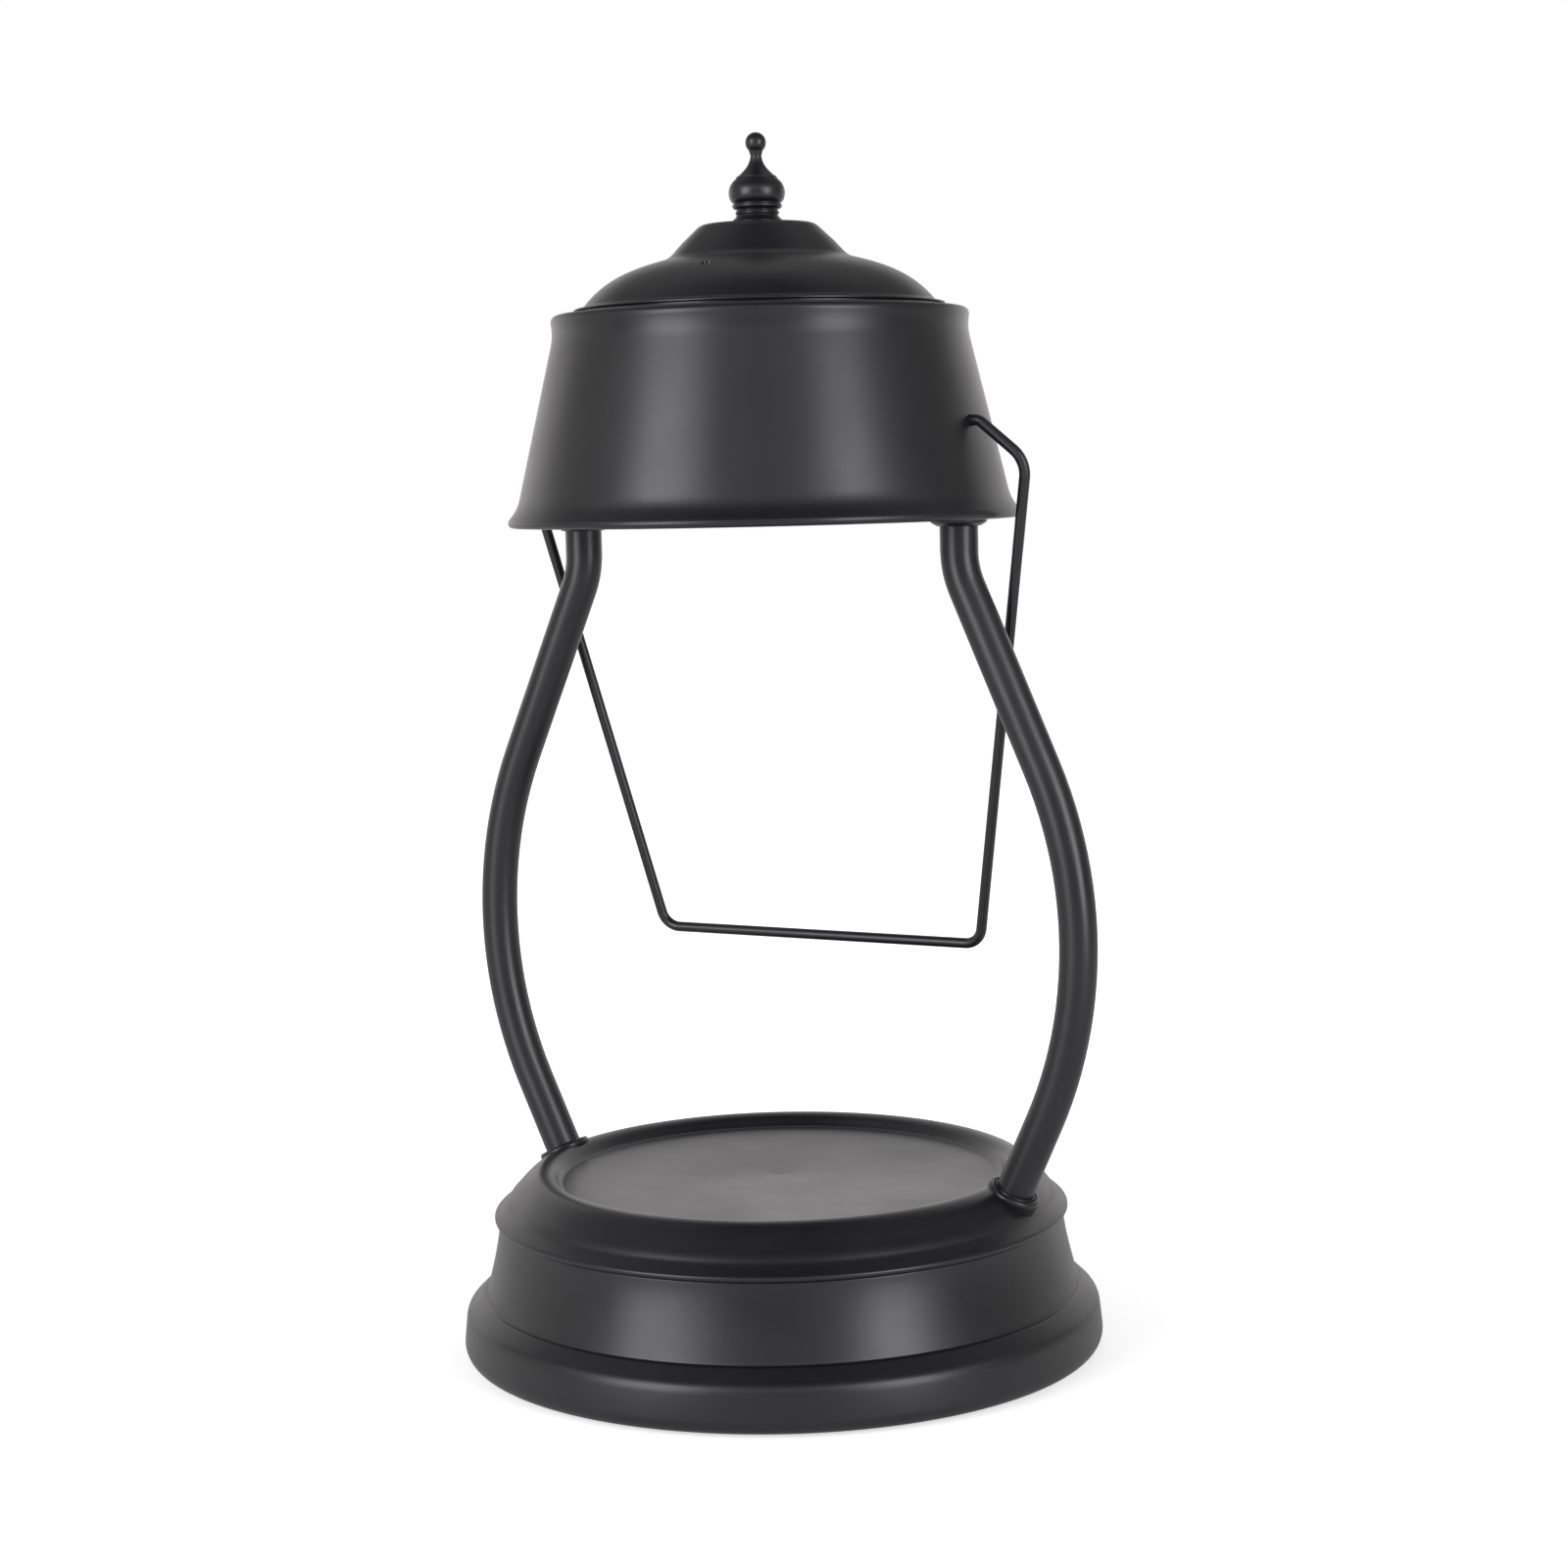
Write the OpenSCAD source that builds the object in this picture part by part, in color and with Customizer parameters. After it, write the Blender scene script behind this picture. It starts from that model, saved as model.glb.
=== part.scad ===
// Candle warmer lamp in the shape of a lantern: a round base that takes a jar candle,
// two bowed tube posts, and a shade that holds a reflector bulb face down over the candle.
// Millimetres. The origin is the centre of the base at table level, +Z is up,
// the two posts stand in the XZ plane and -Y is the front.

/* [Base] */
// Widest radius of the base, at its foot
base_r = 82.5; // [76:0.5:95]
// Height of the skirt, from its lower edge to its top lip
skirt_h = 34.2; // [30:0.2:45]
// Height of the foot band below the cove
foot_band_h = 9.2; // [7:0.1:12]
// Height of the cove, where the straight wall of the skirt begins
cove_h = 15.4; // [14.6:0.1:20]
// Thickness of the pressed sheet of the base
base_sheet = 1; // [0.8:0.1:1.4]
// Radius of the pan at its rolled edge
pan_r = 73.9; // [70:0.1:76]
// How far the skirt's neck stands back under the pan's rolled edge
neck_in = 1.2; // [1:0.1:2]
// How far the crest stands in from the pan's rolled edge
crest_in = 12.6; // [12.2:0.1:13]
// Height of the crest above the skirt
crest_rise = 11.9; // [11:0.1:13]
// Width of the wall between the crest and the flat plate for the candle
plate_wall_w = 5.3; // [5:0.1:8]
// Depth of the candle plate below the crest
plate_depth = 3.2; // [2:0.1:3.6]
// Width of the pan's folded hem, which stands on the skirt
pan_hem = 1.9; // [1.5:0.1:3]

/* [Bottom cover and feet] */
// Thickness of the bottom cover
cover_t = 1.6; // [1.4:0.1:2.5]
// Gap between the cover's edge and the skirt
cover_gap = 0.3; // [0.2:0.1:0.8]
// Width of the lip inside the skirt that the cover rests against
cover_lip = 3.2; // [2.5:0.1:5]
// How far the rubber feet stand below the skirt
foot_h = 1; // [0.6:0.1:4]
// Diameter of a rubber foot
foot_d = 14; // [8:0.5:18]
// Radius of the circle that the feet stand on
foot_circle_r = 67; // [55:0.5:69]
// Radius of the circle of the cover's screws
cover_screw_circle_r = 40; // [30:0.5:44]
// Diameter of a standoff between pan and cover
standoff_d = 8; // [6:0.5:10]
// Diameter of the small machine screws
screw_d = 3; // [2.5:0.1:3.5]
// Length of a cover screw
cover_screw_l = 9; // [6:0.5:14]

/* [Cord inlet] */
// Bore of the rubber grommet at the rear
inlet_bore = 5.5; // [4:0.1:6.5]
// Diameter of the grommet's neck in the skirt
inlet_neck_d = 8; // [7.5:0.1:9]
// Diameter of the grommet's two flanges
inlet_flange_d = 11.5; // [10:0.1:13]
// Place of the grommet on the skirt's straight wall, as a share of the way up
inlet_share = 0.5; // [0.4:0.01:0.6]
// Width of the terminal block
block_w = 22; // [16:1:30]
// Depth of the terminal block, front to back
block_l = 14; // [10:1:18]
// Height of the terminal block
block_h = 12; // [9:1:16]
// Distance of the terminal block behind the axis
block_y = 60; // [54:1:62]

/* [Posts] */
// Outside diameter of the post tube
post_d = 9.5; // [9:0.1:10]
// Wall of the post tube
post_wall = 0.7; // [0.5:0.05:1]
// How far the post's lower end stands in from the pan's rolled edge
post_foot_in = 7.8; // [7.3:0.1:8.1]
// Height of the post's lower end above the skirt
post_foot_rise = 10.4; // [10.4:0.1:11]
// Distance of the post's upper end from the lamp's axis
post_top_x = 54; // [53:0.1:56]
// Farthest distance of the post's centre line from the lamp's axis
post_bow_x = 84.1; // [80:0.1:88]
// Radius of the long bow
post_bow_r = 108; // [90:1:120]
// Lean of the lower stretch, from vertical
post_lower_lean = 24.6; // [23:0.1:27]
// Lean of the upper stretch, from vertical
post_upper_lean = 23.6; // [21:0.1:26]
// Radius of the bend under the shade
post_bend_r = 23; // [15:0.5:30]
// Length of the upright end above that bend
post_neck_l = 8.1; // [7.6:0.1:14]
// Clearance of a thread or a sleeve around what it holds
thread_gap = 0.05; // [0.02:0.01:0.1]
// Bore of the threaded nipples, for the cable
nipple_bore = 5.2; // [4.6:0.1:5.6]
// How deep a nipple sits in its tube
nipple_in = 7.5; // [5:0.1:7.5]
// Diameter of the collar where a post meets the base
collar_d = 13.8; // [13.2:0.1:15]
// Height of that collar's top above the lower end of the post
collar_h = 0.4; // [0.1:0.1:1.5]
// Width across the flats of the post nuts
nut_flats = 12; // [11:0.1:13]
// Height of a post nut
nut_h = 4; // [3:0.1:5]
// Diameter of the plain washers under the post nuts
washer_d = 13.6; // [12:0.1:14]
// Thickness of the plain washers
washer_t = 1; // [0.8:0.1:1.6]
// Height of the collar under the shade
top_collar_h = 2.2; // [2.2:0.1:4]

/* [Shade] */
// Height of the shade, from its rim to its ledge
shade_h = 52.6; // [50:0.2:60]
// How far the rim hangs below the top of the posts
rim_drop = 0.6; // [0.2:0.1:3]
// Radius of the rolled rim
rim_r = 64.7; // [64:0.1:68]
// Radius of the cone just above the rim's flare
cone_low_r = 61.2; // [60.5:0.1:62]
// Radius of the cone just below the waist
cone_high_r = 52.75; // [52:0.05:54.5]
// Radius of the bead at the top of the shade
bead_r = 52.5; // [52:0.1:54.5]
// Radius of the opening in the ledge
ledge_hole_r = 40; // [36:0.5:42]
// Thickness of the shade's sheet
shade_sheet = 1; // [0.8:0.1:1.3]

/* [Cap and finial] */
// Height of the cap above the ledge
cap_h = 21.8; // [20.5:0.1:24]
// Radius of the cap's brim
cap_brim_r = 46.6; // [46:0.1:48]
// Height of the shadow gap under the brim
brim_gap = 0.9; // [0.5:0.1:1.2]
// Radius of the dome at its foot
dome_r = 44; // [43:0.1:44.3]
// Height of the dome, up to the cove
dome_h = 13; // [12.6:0.1:13.4]
// Radius of the cove between dome and cone
cove_r = 24.3; // [23.5:0.1:25]
// Radius of the cap's flat top
cap_top_r = 13.2; // [12:0.1:14]
// Thickness of the cap's sheet
cap_sheet = 0.9; // [0.7:0.1:1.1]
// Diameter of the two vent holes
vent_d = 2.8; // [2:0.1:4]
// Distance of a vent from the axis
vent_r = 31.8; // [28:0.1:33]
// Angle of the vents from the YZ plane
vent_turn = 5.5; // [0:0.5:20]
// Radius of the finial's bulb
finial_r = 7.15; // [6.8:0.05:7.6]
// Height of the finial's body, up to the thin neck
finial_body_h = 16.8; // [15.5:0.1:18]
// Radius of the ball on the tip
finial_ball_r = 2.6; // [2.2:0.05:3]
// Diameter of the stud that the finial screws onto
stud_d = 6; // [5:0.1:6.5]
// How far the stud reaches into the finial
stud_grip = 9; // [6:0.1:10]

/* [Bridge] */
// Width of the strap that joins the posts
strap_w = 20; // [18.5:0.5:20.5]
// Thickness of the strap
strap_t = 1.5; // [1.2:0.1:2]
// Distance of the strap's legs from the axis
leg_x = 45; // [43:0.1:45.3]
// Distance of the raised middle's sides from the axis
raised_x = 22; // [19:0.5:24]
// Distance of the strap's ends from the axis
strap_end_x = 60.4; // [60:0.1:60.6]

/* [Bail] */
// Diameter of the bail's wire
wire_d = 2.7; // [2.4:0.1:3]
// Radial clearance of the wire in its holes
wire_gap = 0.1; // [0.05:0.01:0.1]
// Height of the pivot above the rim
pivot_h = 24; // [22:0.1:27]
// Length of the bail, from its pivot to its rail
bail_l = 135.4; // [120:0.2:150]
// Half the width of the bail at its shoulders
bail_shoulder_x = 71.4; // [70.5:0.1:73]
// Drop of the shoulders below the pivot
bail_shoulder_h = 10.3; // [9:0.1:11]
// Half the length of the rail
rail_x = 46.6; // [40:0.1:50]
// Angle at which the bail leans back from hanging straight
bail_lean = 10.4; // [8:0.1:14]

/* [Bulb and holder] */
// Radius of the reflector's rim
bulb_r = 25; // [24:0.1:25.5]
// Length of the bulb without its pins
bulb_l = 47; // [45:0.1:48]
// Length of the bulb's base
bulb_base_l = 14; // [12:0.1:16]
// Length of the capsule inside the reflector
capsule_l = 16; // [12:0.5:18]
// How far the bulb's face is above the rim
bulb_recess = 1.6; // [1:0.1:3]
// Radius of the bulb's base
bulb_base_r = 12; // [11.5:0.1:12.5]
// Distance between the centres of the two pins
pin_pitch = 10; // [9.5:0.1:10.5]
// Diameter of a pin's neck
pin_neck_d = 3; // [2.6:0.1:3.2]
// Diameter of a pin's head
pin_head_d = 5; // [4.6:0.1:5]
// Length of a pin
pin_l = 7; // [6.6:0.1:7.2]
// Angle of the twist that locks the bulb
twist = 20; // [15:1:25]
// Diameter of the ceramic holder
holder_d = 28; // [27:0.5:30]
// Height of the holder
holder_h = 11.5; // [11:0.1:13]
// Clearance between the bulb and its holder
bulb_gap = 0.3; // [0.25:0.05:0.5]
// Diameter of the cable inside the post
cable_d = 3.6; // [3:0.1:3.8]

/* [Hidden] */
$fn = 72;

black_paint = [0.10, 0.10, 0.10];
zinc = [0.72, 0.73, 0.75];
brass = [0.80, 0.65, 0.30];
cut = 0.5;                     // how far a cutting shape runs past what it cuts

// Heights, measured from the lower edge of the skirt.
crest_z = skirt_h + crest_rise;
plate_z = crest_z - plate_depth;
roll_z = skirt_h + 0.95;       // height of the widest point of the pan's rolled edge
knee_x = pan_r - 3.3;          // where the pan's slope is steepest
knee_z = skirt_h + 4.3;

neck_r = pan_r - neck_in;
crest_r = pan_r - crest_in;
plate_r = crest_r - plate_wall_w;
post_foot_x = pan_r - post_foot_in;

// Centre line of a post, in the XZ plane, from its foot on the pan to its upright top.
post_foot_z = skirt_h + post_foot_rise;
bow_centre_x = post_bow_x - post_bow_r;
bow_centre_z = post_foot_z + ((bow_centre_x - post_foot_x) * cos(post_lower_lean) + post_bow_r)
               / sin(post_lower_lean);
bow_top_x = bow_centre_x + post_bow_r * cos(post_upper_lean);
bow_top_z = bow_centre_z + post_bow_r * sin(post_upper_lean);
bend_z = bow_top_z + (bow_top_x - post_top_x - post_bend_r * (1 - cos(post_upper_lean)))
         / tan(post_upper_lean) + post_bend_r * sin(post_upper_lean);
post_top_z = bend_z + post_neck_l;
bow_turn = post_bow_r * tan((post_upper_lean + post_lower_lean) / 2);
// Each entry is x, z and the bend radius at that corner of the centre line.
post_path = [[post_foot_x, post_foot_z, 0],
             [bow_top_x + bow_turn * sin(post_upper_lean),
              bow_top_z - bow_turn * cos(post_upper_lean), post_bow_r],
             [post_top_x, bend_z - post_bend_r * tan(post_upper_lean / 2), post_bend_r],
             [post_top_x, post_top_z, 0]];
nipple_d = post_d - 2 * post_wall - 2 * thread_gap;

rim_z = post_top_z - rim_drop;
ledge_z = rim_z + shade_h;
cap_top_z = ledge_z + cap_h;
pivot_z = rim_z + pivot_h;
bulb_face_z = rim_z + bulb_recess;
bulb_top_z = bulb_face_z + bulb_l;
holder_z = bulb_top_z + bulb_gap;
raised_z = holder_z + holder_h;            // underside of the strap's raised middle
shoulder_z = ledge_z - shade_sheet - strap_t;   // underside of the strap under the ledge
nut_seat_z = post_top_z + strap_t + washer_t;
wedge_l = 6.2;                             // from post foot to the flat of the bevel washer
base_nipple_l = wedge_l + nut_h + 2.5;
top_nipple_l = nipple_in + strap_t + washer_t + nut_h + 1.5;

// ---------------------------------------------------------------- shared shapes

module lift() { translate([0, 0, foot_h]) children(); }
module both_sides() { children(); mirror([1, 0, 0]) children(); }

// A point of the cubic curve with the four corners c, and its direction there.
function on_curve(c, t) = let (s = 1 - t)
    s * s * s * c[0] + 3 * s * s * t * c[1] + 3 * s * t * t * c[2] + t * t * t * c[3];
function along_curve(c, t) = let (s = 1 - t)
    s * s * (c[1] - c[0]) + 2 * s * t * (c[2] - c[1]) + t * t * (c[3] - c[2]);
// Points of a cubic curve, without its first point.
function curve(a, b, c, d, n = 6) = [for (i = [1 : n]) on_curve([a, b, c, d], i / n)];
function reversed(list) = [for (i = [len(list) - 1 : -1 : 0]) list[i]];
function inwards(list, t) = [for (p = list) [p[0] - t, p[1]]];
function unit(v) = v / norm(v);
function run(path, i) = unit([path[i + 1][0] - path[i][0], path[i + 1][1] - path[i][1]]);
function turn(path, i) = let (u = run(path, i - 1), v = run(path, i))
    atan2(u[0] * v[1] - u[1] * v[0], u[0] * v[0] + u[1] * v[1]);
function setback(path, i) = path[i][2] == 0 ? 0 : path[i][2] * tan(abs(turn(path, i)) / 2);

// A round rod bent along a path of corners in the XZ plane. The bends are a hair thinner
// than the straights and reach a little way into them, so that all is one piece. The straights
// can run on by extra at both ends, so that a bore shares no end face with its tube.
module bent_rod(path, d, extra = 0) {
    for (i = [0 : len(path) - 2]) {
        u = run(path, i);
        a = [path[i][0], path[i][1]] + u * (setback(path, i) - extra);
        b = [path[i + 1][0], path[i + 1][1]] - u * (setback(path, i + 1) - extra);
        translate([a[0], 0, a[1]]) rotate([0, atan2(u[0], u[1]), 0]) cylinder(d = d, h = norm(b - a));
    }
    for (i = [1 : len(path) - 2]) {
        u = run(path, i - 1);
        side = sign(turn(path, i));
        start = [path[i][0], path[i][1]] - u * setback(path, i);
        centre = start + side * path[i][2] * [-u[1], u[0]];
        from = atan2(start[1] - centre[1], start[0] - centre[0]);
        reach = 5.7 / sqrt(path[i][2]);
        translate([centre[0], 0, centre[1]]) rotate([90, 0, 0])
            rotate([0, 0, min(from, from + turn(path, i)) - reach])
                rotate_extrude(angle = abs(turn(path, i)) + 2 * reach)
                    translate([path[i][2], 0]) circle(d = d - 0.03);
    }
}

// A frame at the foot of the right post, with +Z up along the tube.
module at_post_foot() {
    translate([post_foot_x, 0, post_foot_z]) rotate([0, post_lower_lean, 0]) children();
}

module hex_nut(bore) {
    difference() {
        rotate(30) cylinder(d = nut_flats / cos(30), h = nut_h, $fn = 6);
        translate([0, 0, -cut]) cylinder(d = bore, h = nut_h + 2 * cut);
    }
}

module washer(bore) {
    difference() {
        cylinder(d = washer_d, h = washer_t);
        translate([0, 0, -cut]) cylinder(d = bore, h = washer_t + 2 * cut);
    }
}

// ---------------------------------------------------------------- base

// Top of the pan, from the plate over the crest and down its slope to the lower edge of its roll.
plate_wall = curve([plate_r, plate_z], [plate_r + 2, plate_z], [crest_r - 3.6, crest_z],
                   [crest_r, crest_z], 8);
pan_outside = concat(
    curve([crest_r, crest_z], [crest_r + 1.3, crest_z], [crest_r + 2.2, crest_z - 0.4],
          [crest_r + 3.1, crest_z - 1], 4),
    curve([crest_r + 3.1, crest_z - 1], [crest_r + 4.7, crest_z - 2.1], [knee_x - 2.9, knee_z + 3.4],
          [knee_x - 1.6, knee_z + 2.1], 4),
    curve([knee_x - 1.6, knee_z + 2.1], [knee_x - 0.8, knee_z + 1.3], [knee_x - 0.4, knee_z + 0.7],
          [knee_x, knee_z], 3),
    curve([knee_x, knee_z], [knee_x + 0.4, knee_z - 0.7], [knee_x + 1.2, roll_z + 2.05],
          [pan_r - 1.1, roll_z + 1.25], 4),
    curve([pan_r - 1.1, roll_z + 1.25], [pan_r - 0.4, roll_z + 0.75], [pan_r, roll_z + 0.5],
          [pan_r, roll_z], 4),
    curve([pan_r, roll_z], [pan_r, roll_z - 0.5], [pan_r - 0.3, skirt_h], [pan_r - 0.9, skirt_h], 4));
pan_top = concat([[0, plate_z], [plate_r, plate_z]], plate_wall, pan_outside);
pan_drop = base_sheet * 1.25;   // the sheet measured straight down through its slope
pan_rim_r = pan_r - 0.9 - pan_hem;
pan_under = concat(
    [[pan_rim_r, skirt_h], [pan_rim_r, skirt_h + 1.2]],
    reversed([for (p = pan_outside) if (p[1] > roll_z + 1.6) [p[0] - 0.45, p[1] - pan_drop]]),
    [[crest_r - 2, crest_z - 2.2], [plate_r + 1.2, plate_z - base_sheet], [0, plate_z - base_sheet]]);

module post_bores(d) {
    both_sides() at_post_foot() translate([0, 0, -20]) cylinder(d = d, h = 40);
}

module base_pan() {
    color(black_paint) lift() difference() {
        rotate_extrude() polygon(concat(pan_top, pan_under));
        post_bores(nipple_d + 4 * thread_gap);
    }
}

neck_wall = [[neck_r + 3.75, cove_h], [neck_r + 2.65, cove_h + 4.1], [neck_r + 0.25, skirt_h - 6],
             [neck_r, skirt_h - 0.3]];
skirt_outside = concat(
    curve([base_r - 1.9, 0], [base_r - 0.8, 0.3], [base_r, 1.6], [base_r, 3.4], 5),
    [[base_r - 0.6, foot_band_h]],
    curve([base_r - 0.6, foot_band_h], [base_r - 0.75, foot_band_h + 1.5],
          [base_r - 1.2, foot_band_h + 2.4], [base_r - 2.05, foot_band_h + 3.15], 5),
    [[base_r - 4.6, foot_band_h + 5.55]],
    curve([base_r - 4.6, foot_band_h + 5.55], [base_r - 5.2, foot_band_h + 6.1],
          [neck_r + 3.9, cove_h - 0.55], neck_wall[0], 4),
    curve(neck_wall[0], neck_wall[1], neck_wall[2], neck_wall[3], 7),
    [[neck_r - 0.3, skirt_h]]);
skin = base_sheet * 1.15;       // the sheet measured level through its slopes
seat_r = base_r - 2.8;          // wall around the cover
lip_in_r = seat_r - cover_lip;
skirt_in = [for (p = skirt_outside) if (p[1] > cover_t + base_sheet && p[1] < skirt_h - base_sheet) p];
top_lip_r = neck_r - 2;

module base_skirt() {
    color(black_paint) lift() difference() {
        rotate_extrude() polygon(concat(
            [[seat_r, 0], [base_r - 1.9, 0]], skirt_outside,
            [[top_lip_r, skirt_h], [top_lip_r, skirt_h - base_sheet],
             [neck_r - skin, skirt_h - base_sheet]],
            reversed(inwards(skirt_in, skin)),
            [[base_r - skin, cover_t + base_sheet], [lip_in_r, cover_t + base_sheet],
             [lip_in_r, cover_t], [seat_r, cover_t]]));
        at_inlet() translate([0, 0, -10]) cylinder(d = inlet_neck_d + 2 * thread_gap, h = 20);
    }
}

module cover_screw_places() {
    for (i = [0 : 2]) rotate([0, 0, 90 + 120 * i]) translate([cover_screw_circle_r, 0, 0]) children();
}

screw_head_d = screw_d * 1.9;
screw_head_h = (screw_head_d - screw_d) / 2;

module bottom_cover() {
    color(black_paint) lift() difference() {
        cylinder(r = seat_r - cover_gap, h = cover_t);
        cover_screw_places() {
            translate([0, 0, -cut]) cylinder(d = screw_d + 0.4, h = cover_t + 2 * cut);
            cylinder(d1 = screw_head_d + 0.1, d2 = screw_d + 0.1, h = screw_head_h);
        }
    }
}

module cover_standoffs() {
    color(zinc) lift() cover_screw_places() translate([0, 0, cover_t]) difference() {
        cylinder(d = standoff_d, h = plate_z - base_sheet - cover_t);
        translate([0, 0, -cut]) cylinder(d = screw_d, h = cover_screw_l + 1 + cut);
    }
}

module cover_screws() {
    color(zinc) lift() cover_screw_places() difference() {
        union() {
            cylinder(d1 = screw_head_d, d2 = screw_d - 2 * thread_gap, h = screw_head_h);
            cylinder(d = screw_d - 2 * thread_gap, h = cover_screw_l);
        }
        for (a = [0, 90]) rotate([0, 0, a]) translate([-1.5, -0.3, -cut]) cube([3, 0.6, cut + 0.8]);
    }
}

module rubber_feet() {
    color([0.06, 0.06, 0.06]) for (i = [0 : 3]) rotate([0, 0, 45 + 90 * i])
        translate([foot_circle_r, 0, 0]) {
            cylinder(d1 = foot_d - 1, d2 = foot_d, h = foot_h / 2);
            translate([0, 0, foot_h / 2]) cylinder(d = foot_d, h = foot_h / 2);
        }
}

// A frame on the outside of the skirt's wall at the inlet, square to the wall, +Z outwards.
inlet_place = on_curve(neck_wall, inlet_share);
inlet_run = along_curve(neck_wall, inlet_share);
module at_inlet() {
    translate([0, inlet_place[0], inlet_place[1]])
        rotate([-90 + atan(-inlet_run[0] / inlet_run[1]), 0, 0]) children();
}

// The flat flanges clear the round wall: by outer_gap at the middle, and inside by inner_gap.
module cord_grommet() {
    flange_t = 1.4;
    outer_gap = 0.4;
    inner_gap = 0.5;
    held = outer_gap + base_sheet + inner_gap;
    color([0.06, 0.06, 0.06]) lift() at_inlet() translate([0, 0, outer_gap - held]) difference() {
        union() {
            translate([0, 0, -flange_t]) cylinder(d = inlet_flange_d, h = flange_t);
            cylinder(d = inlet_neck_d, h = held);
            translate([0, 0, held]) cylinder(d1 = inlet_flange_d, d2 = inlet_flange_d - 1.6, h = flange_t);
        }
        translate([0, 0, -10]) cylinder(d = inlet_bore, h = 20);
    }
}

block_z = cover_t;
wire_port_h = block_h * 0.5;
module terminal_screw_places() {
    for (x = [-1, 1]) translate([x * block_w / 4, block_y, block_z + block_h]) children();
}

module terminal_block() {
    color([0.92, 0.91, 0.88]) lift() difference() {
        translate([-block_w / 2, block_y - block_l / 2, block_z]) cube([block_w, block_l, block_h]);
        terminal_screw_places() translate([0, 0, -4]) cylinder(d = 4, h = 4 + cut);
        for (x = [-1, 1]) translate([x * block_w / 4, block_y + cut, block_z + wire_port_h])
            rotate([-90, 0, 0]) cylinder(d = 3, h = block_l);
    }
}

module terminal_screws() {
    color(brass) lift() terminal_screw_places() translate([0, 0, -4]) difference() {
        cylinder(d = 3.6, h = 2.2);
        translate([-2, -0.35, 1.5]) cube([4, 0.7, 1]);
    }
}

// ---------------------------------------------------------------- posts

module post() {
    color(black_paint) lift() difference() {
        bent_rod(post_path, post_d);
        bent_rod(post_path, post_d - 2 * post_wall, 0.2);
    }
}

module right_post() { post(); }
module left_post() { mirror([1, 0, 0]) post(); }

module threaded_nipples() {
    color(zinc) lift() both_sides() {
        at_post_foot() translate([0, 0, -base_nipple_l]) difference() {
            cylinder(d = nipple_d, h = base_nipple_l + nipple_in);
            translate([0, 0, -cut]) cylinder(d = nipple_bore, h = base_nipple_l + nipple_in + 2 * cut);
        }
        translate([post_top_x, 0, post_top_z - nipple_in]) difference() {
            cylinder(d = nipple_d, h = top_nipple_l);
            translate([0, 0, -cut]) cylinder(d = nipple_bore, h = top_nipple_l + 2 * cut);
        }
    }
}

// The pan as a filled shape, to trim what stands on it or hangs under it. Its small facets keep
// the mesh of a small trimmed piece close to the exact solid.
module pan_filled(top) {
    rotate_extrude($fn = 288) polygon(top
        ? concat([[0, 0]], pan_top, [[pan_r - 0.9, 0]])
        : concat([[0, 0], [pan_rim_r, 0]], pan_under));
}

// Half section of a foot collar: rounded edge, and a groove around the tube.
collar_top = concat(
    [[collar_d / 2 - 0.5, -9], [collar_d / 2 - 0.2, collar_h - 1.6]],
    curve([collar_d / 2 - 0.2, collar_h - 1.6], [collar_d / 2 + 0.1, collar_h - 0.7],
          [collar_d / 2 - 0.2, collar_h], [collar_d / 2 - 0.9, collar_h], 5),
    [[post_d / 2 + 0.9, collar_h - 0.2], [post_d / 2 + 0.6, collar_h - 0.6],
     [post_d / 2 + 0.4, collar_h + 0.1], [0, collar_h + 0.1], [0, -9]]);

module post_collars() {
    color(black_paint) lift() both_sides() difference() {
        at_post_foot() rotate_extrude() polygon(collar_top);
        pan_filled(true);
        at_post_foot() {
            cylinder(d = post_d + 2 * thread_gap, h = 20);
            translate([0, 0, -20]) cylinder(d = nipple_d + 2 * thread_gap, h = 20 + cut);
        }
    }
}

module bevel_washers() {
    color(zinc) lift() both_sides() intersection() {
        at_post_foot() translate([0, 0, -wedge_l]) difference() {
            cylinder(d = washer_d, h = wedge_l);
            translate([0, 0, -cut]) cylinder(d = nipple_d + 2 * thread_gap, h = wedge_l + 2 * cut);
        }
        pan_filled(false);
    }
}

module base_nuts() {
    color(zinc) lift() both_sides() at_post_foot()
        translate([0, 0, -wedge_l - nut_h]) hex_nut(nipple_d + 2 * thread_gap);
}

module top_collars() {
    ring_d = collar_d + 0.2;
    at_z = post_top_z - top_collar_h;
    color(black_paint) lift() both_sides() translate([post_top_x, 0, at_z]) difference() {
        union() {
            cylinder(d1 = post_d + 1.2, d2 = ring_d - 0.5, h = 0.8);
            translate([0, 0, 0.8]) cylinder(d1 = ring_d - 0.5, d2 = ring_d, h = 0.4);
            translate([0, 0, 1.2]) cylinder(d = ring_d, h = top_collar_h - 1.2);
        }
        translate([0, 0, -cut]) cylinder(d = post_d + 2 * thread_gap, h = top_collar_h + 2 * cut);
    }
}

module top_washers() {
    color(zinc) lift() both_sides() translate([post_top_x, 0, post_top_z + strap_t])
        washer(nipple_d + 2 * thread_gap);
}

module top_nuts() {
    color(zinc) lift() both_sides() translate([post_top_x, 0, nut_seat_z])
        hex_nut(nipple_d + 2 * thread_gap);
}

// ---------------------------------------------------------------- bridge and holder

holder_screw_y = 7;

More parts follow.
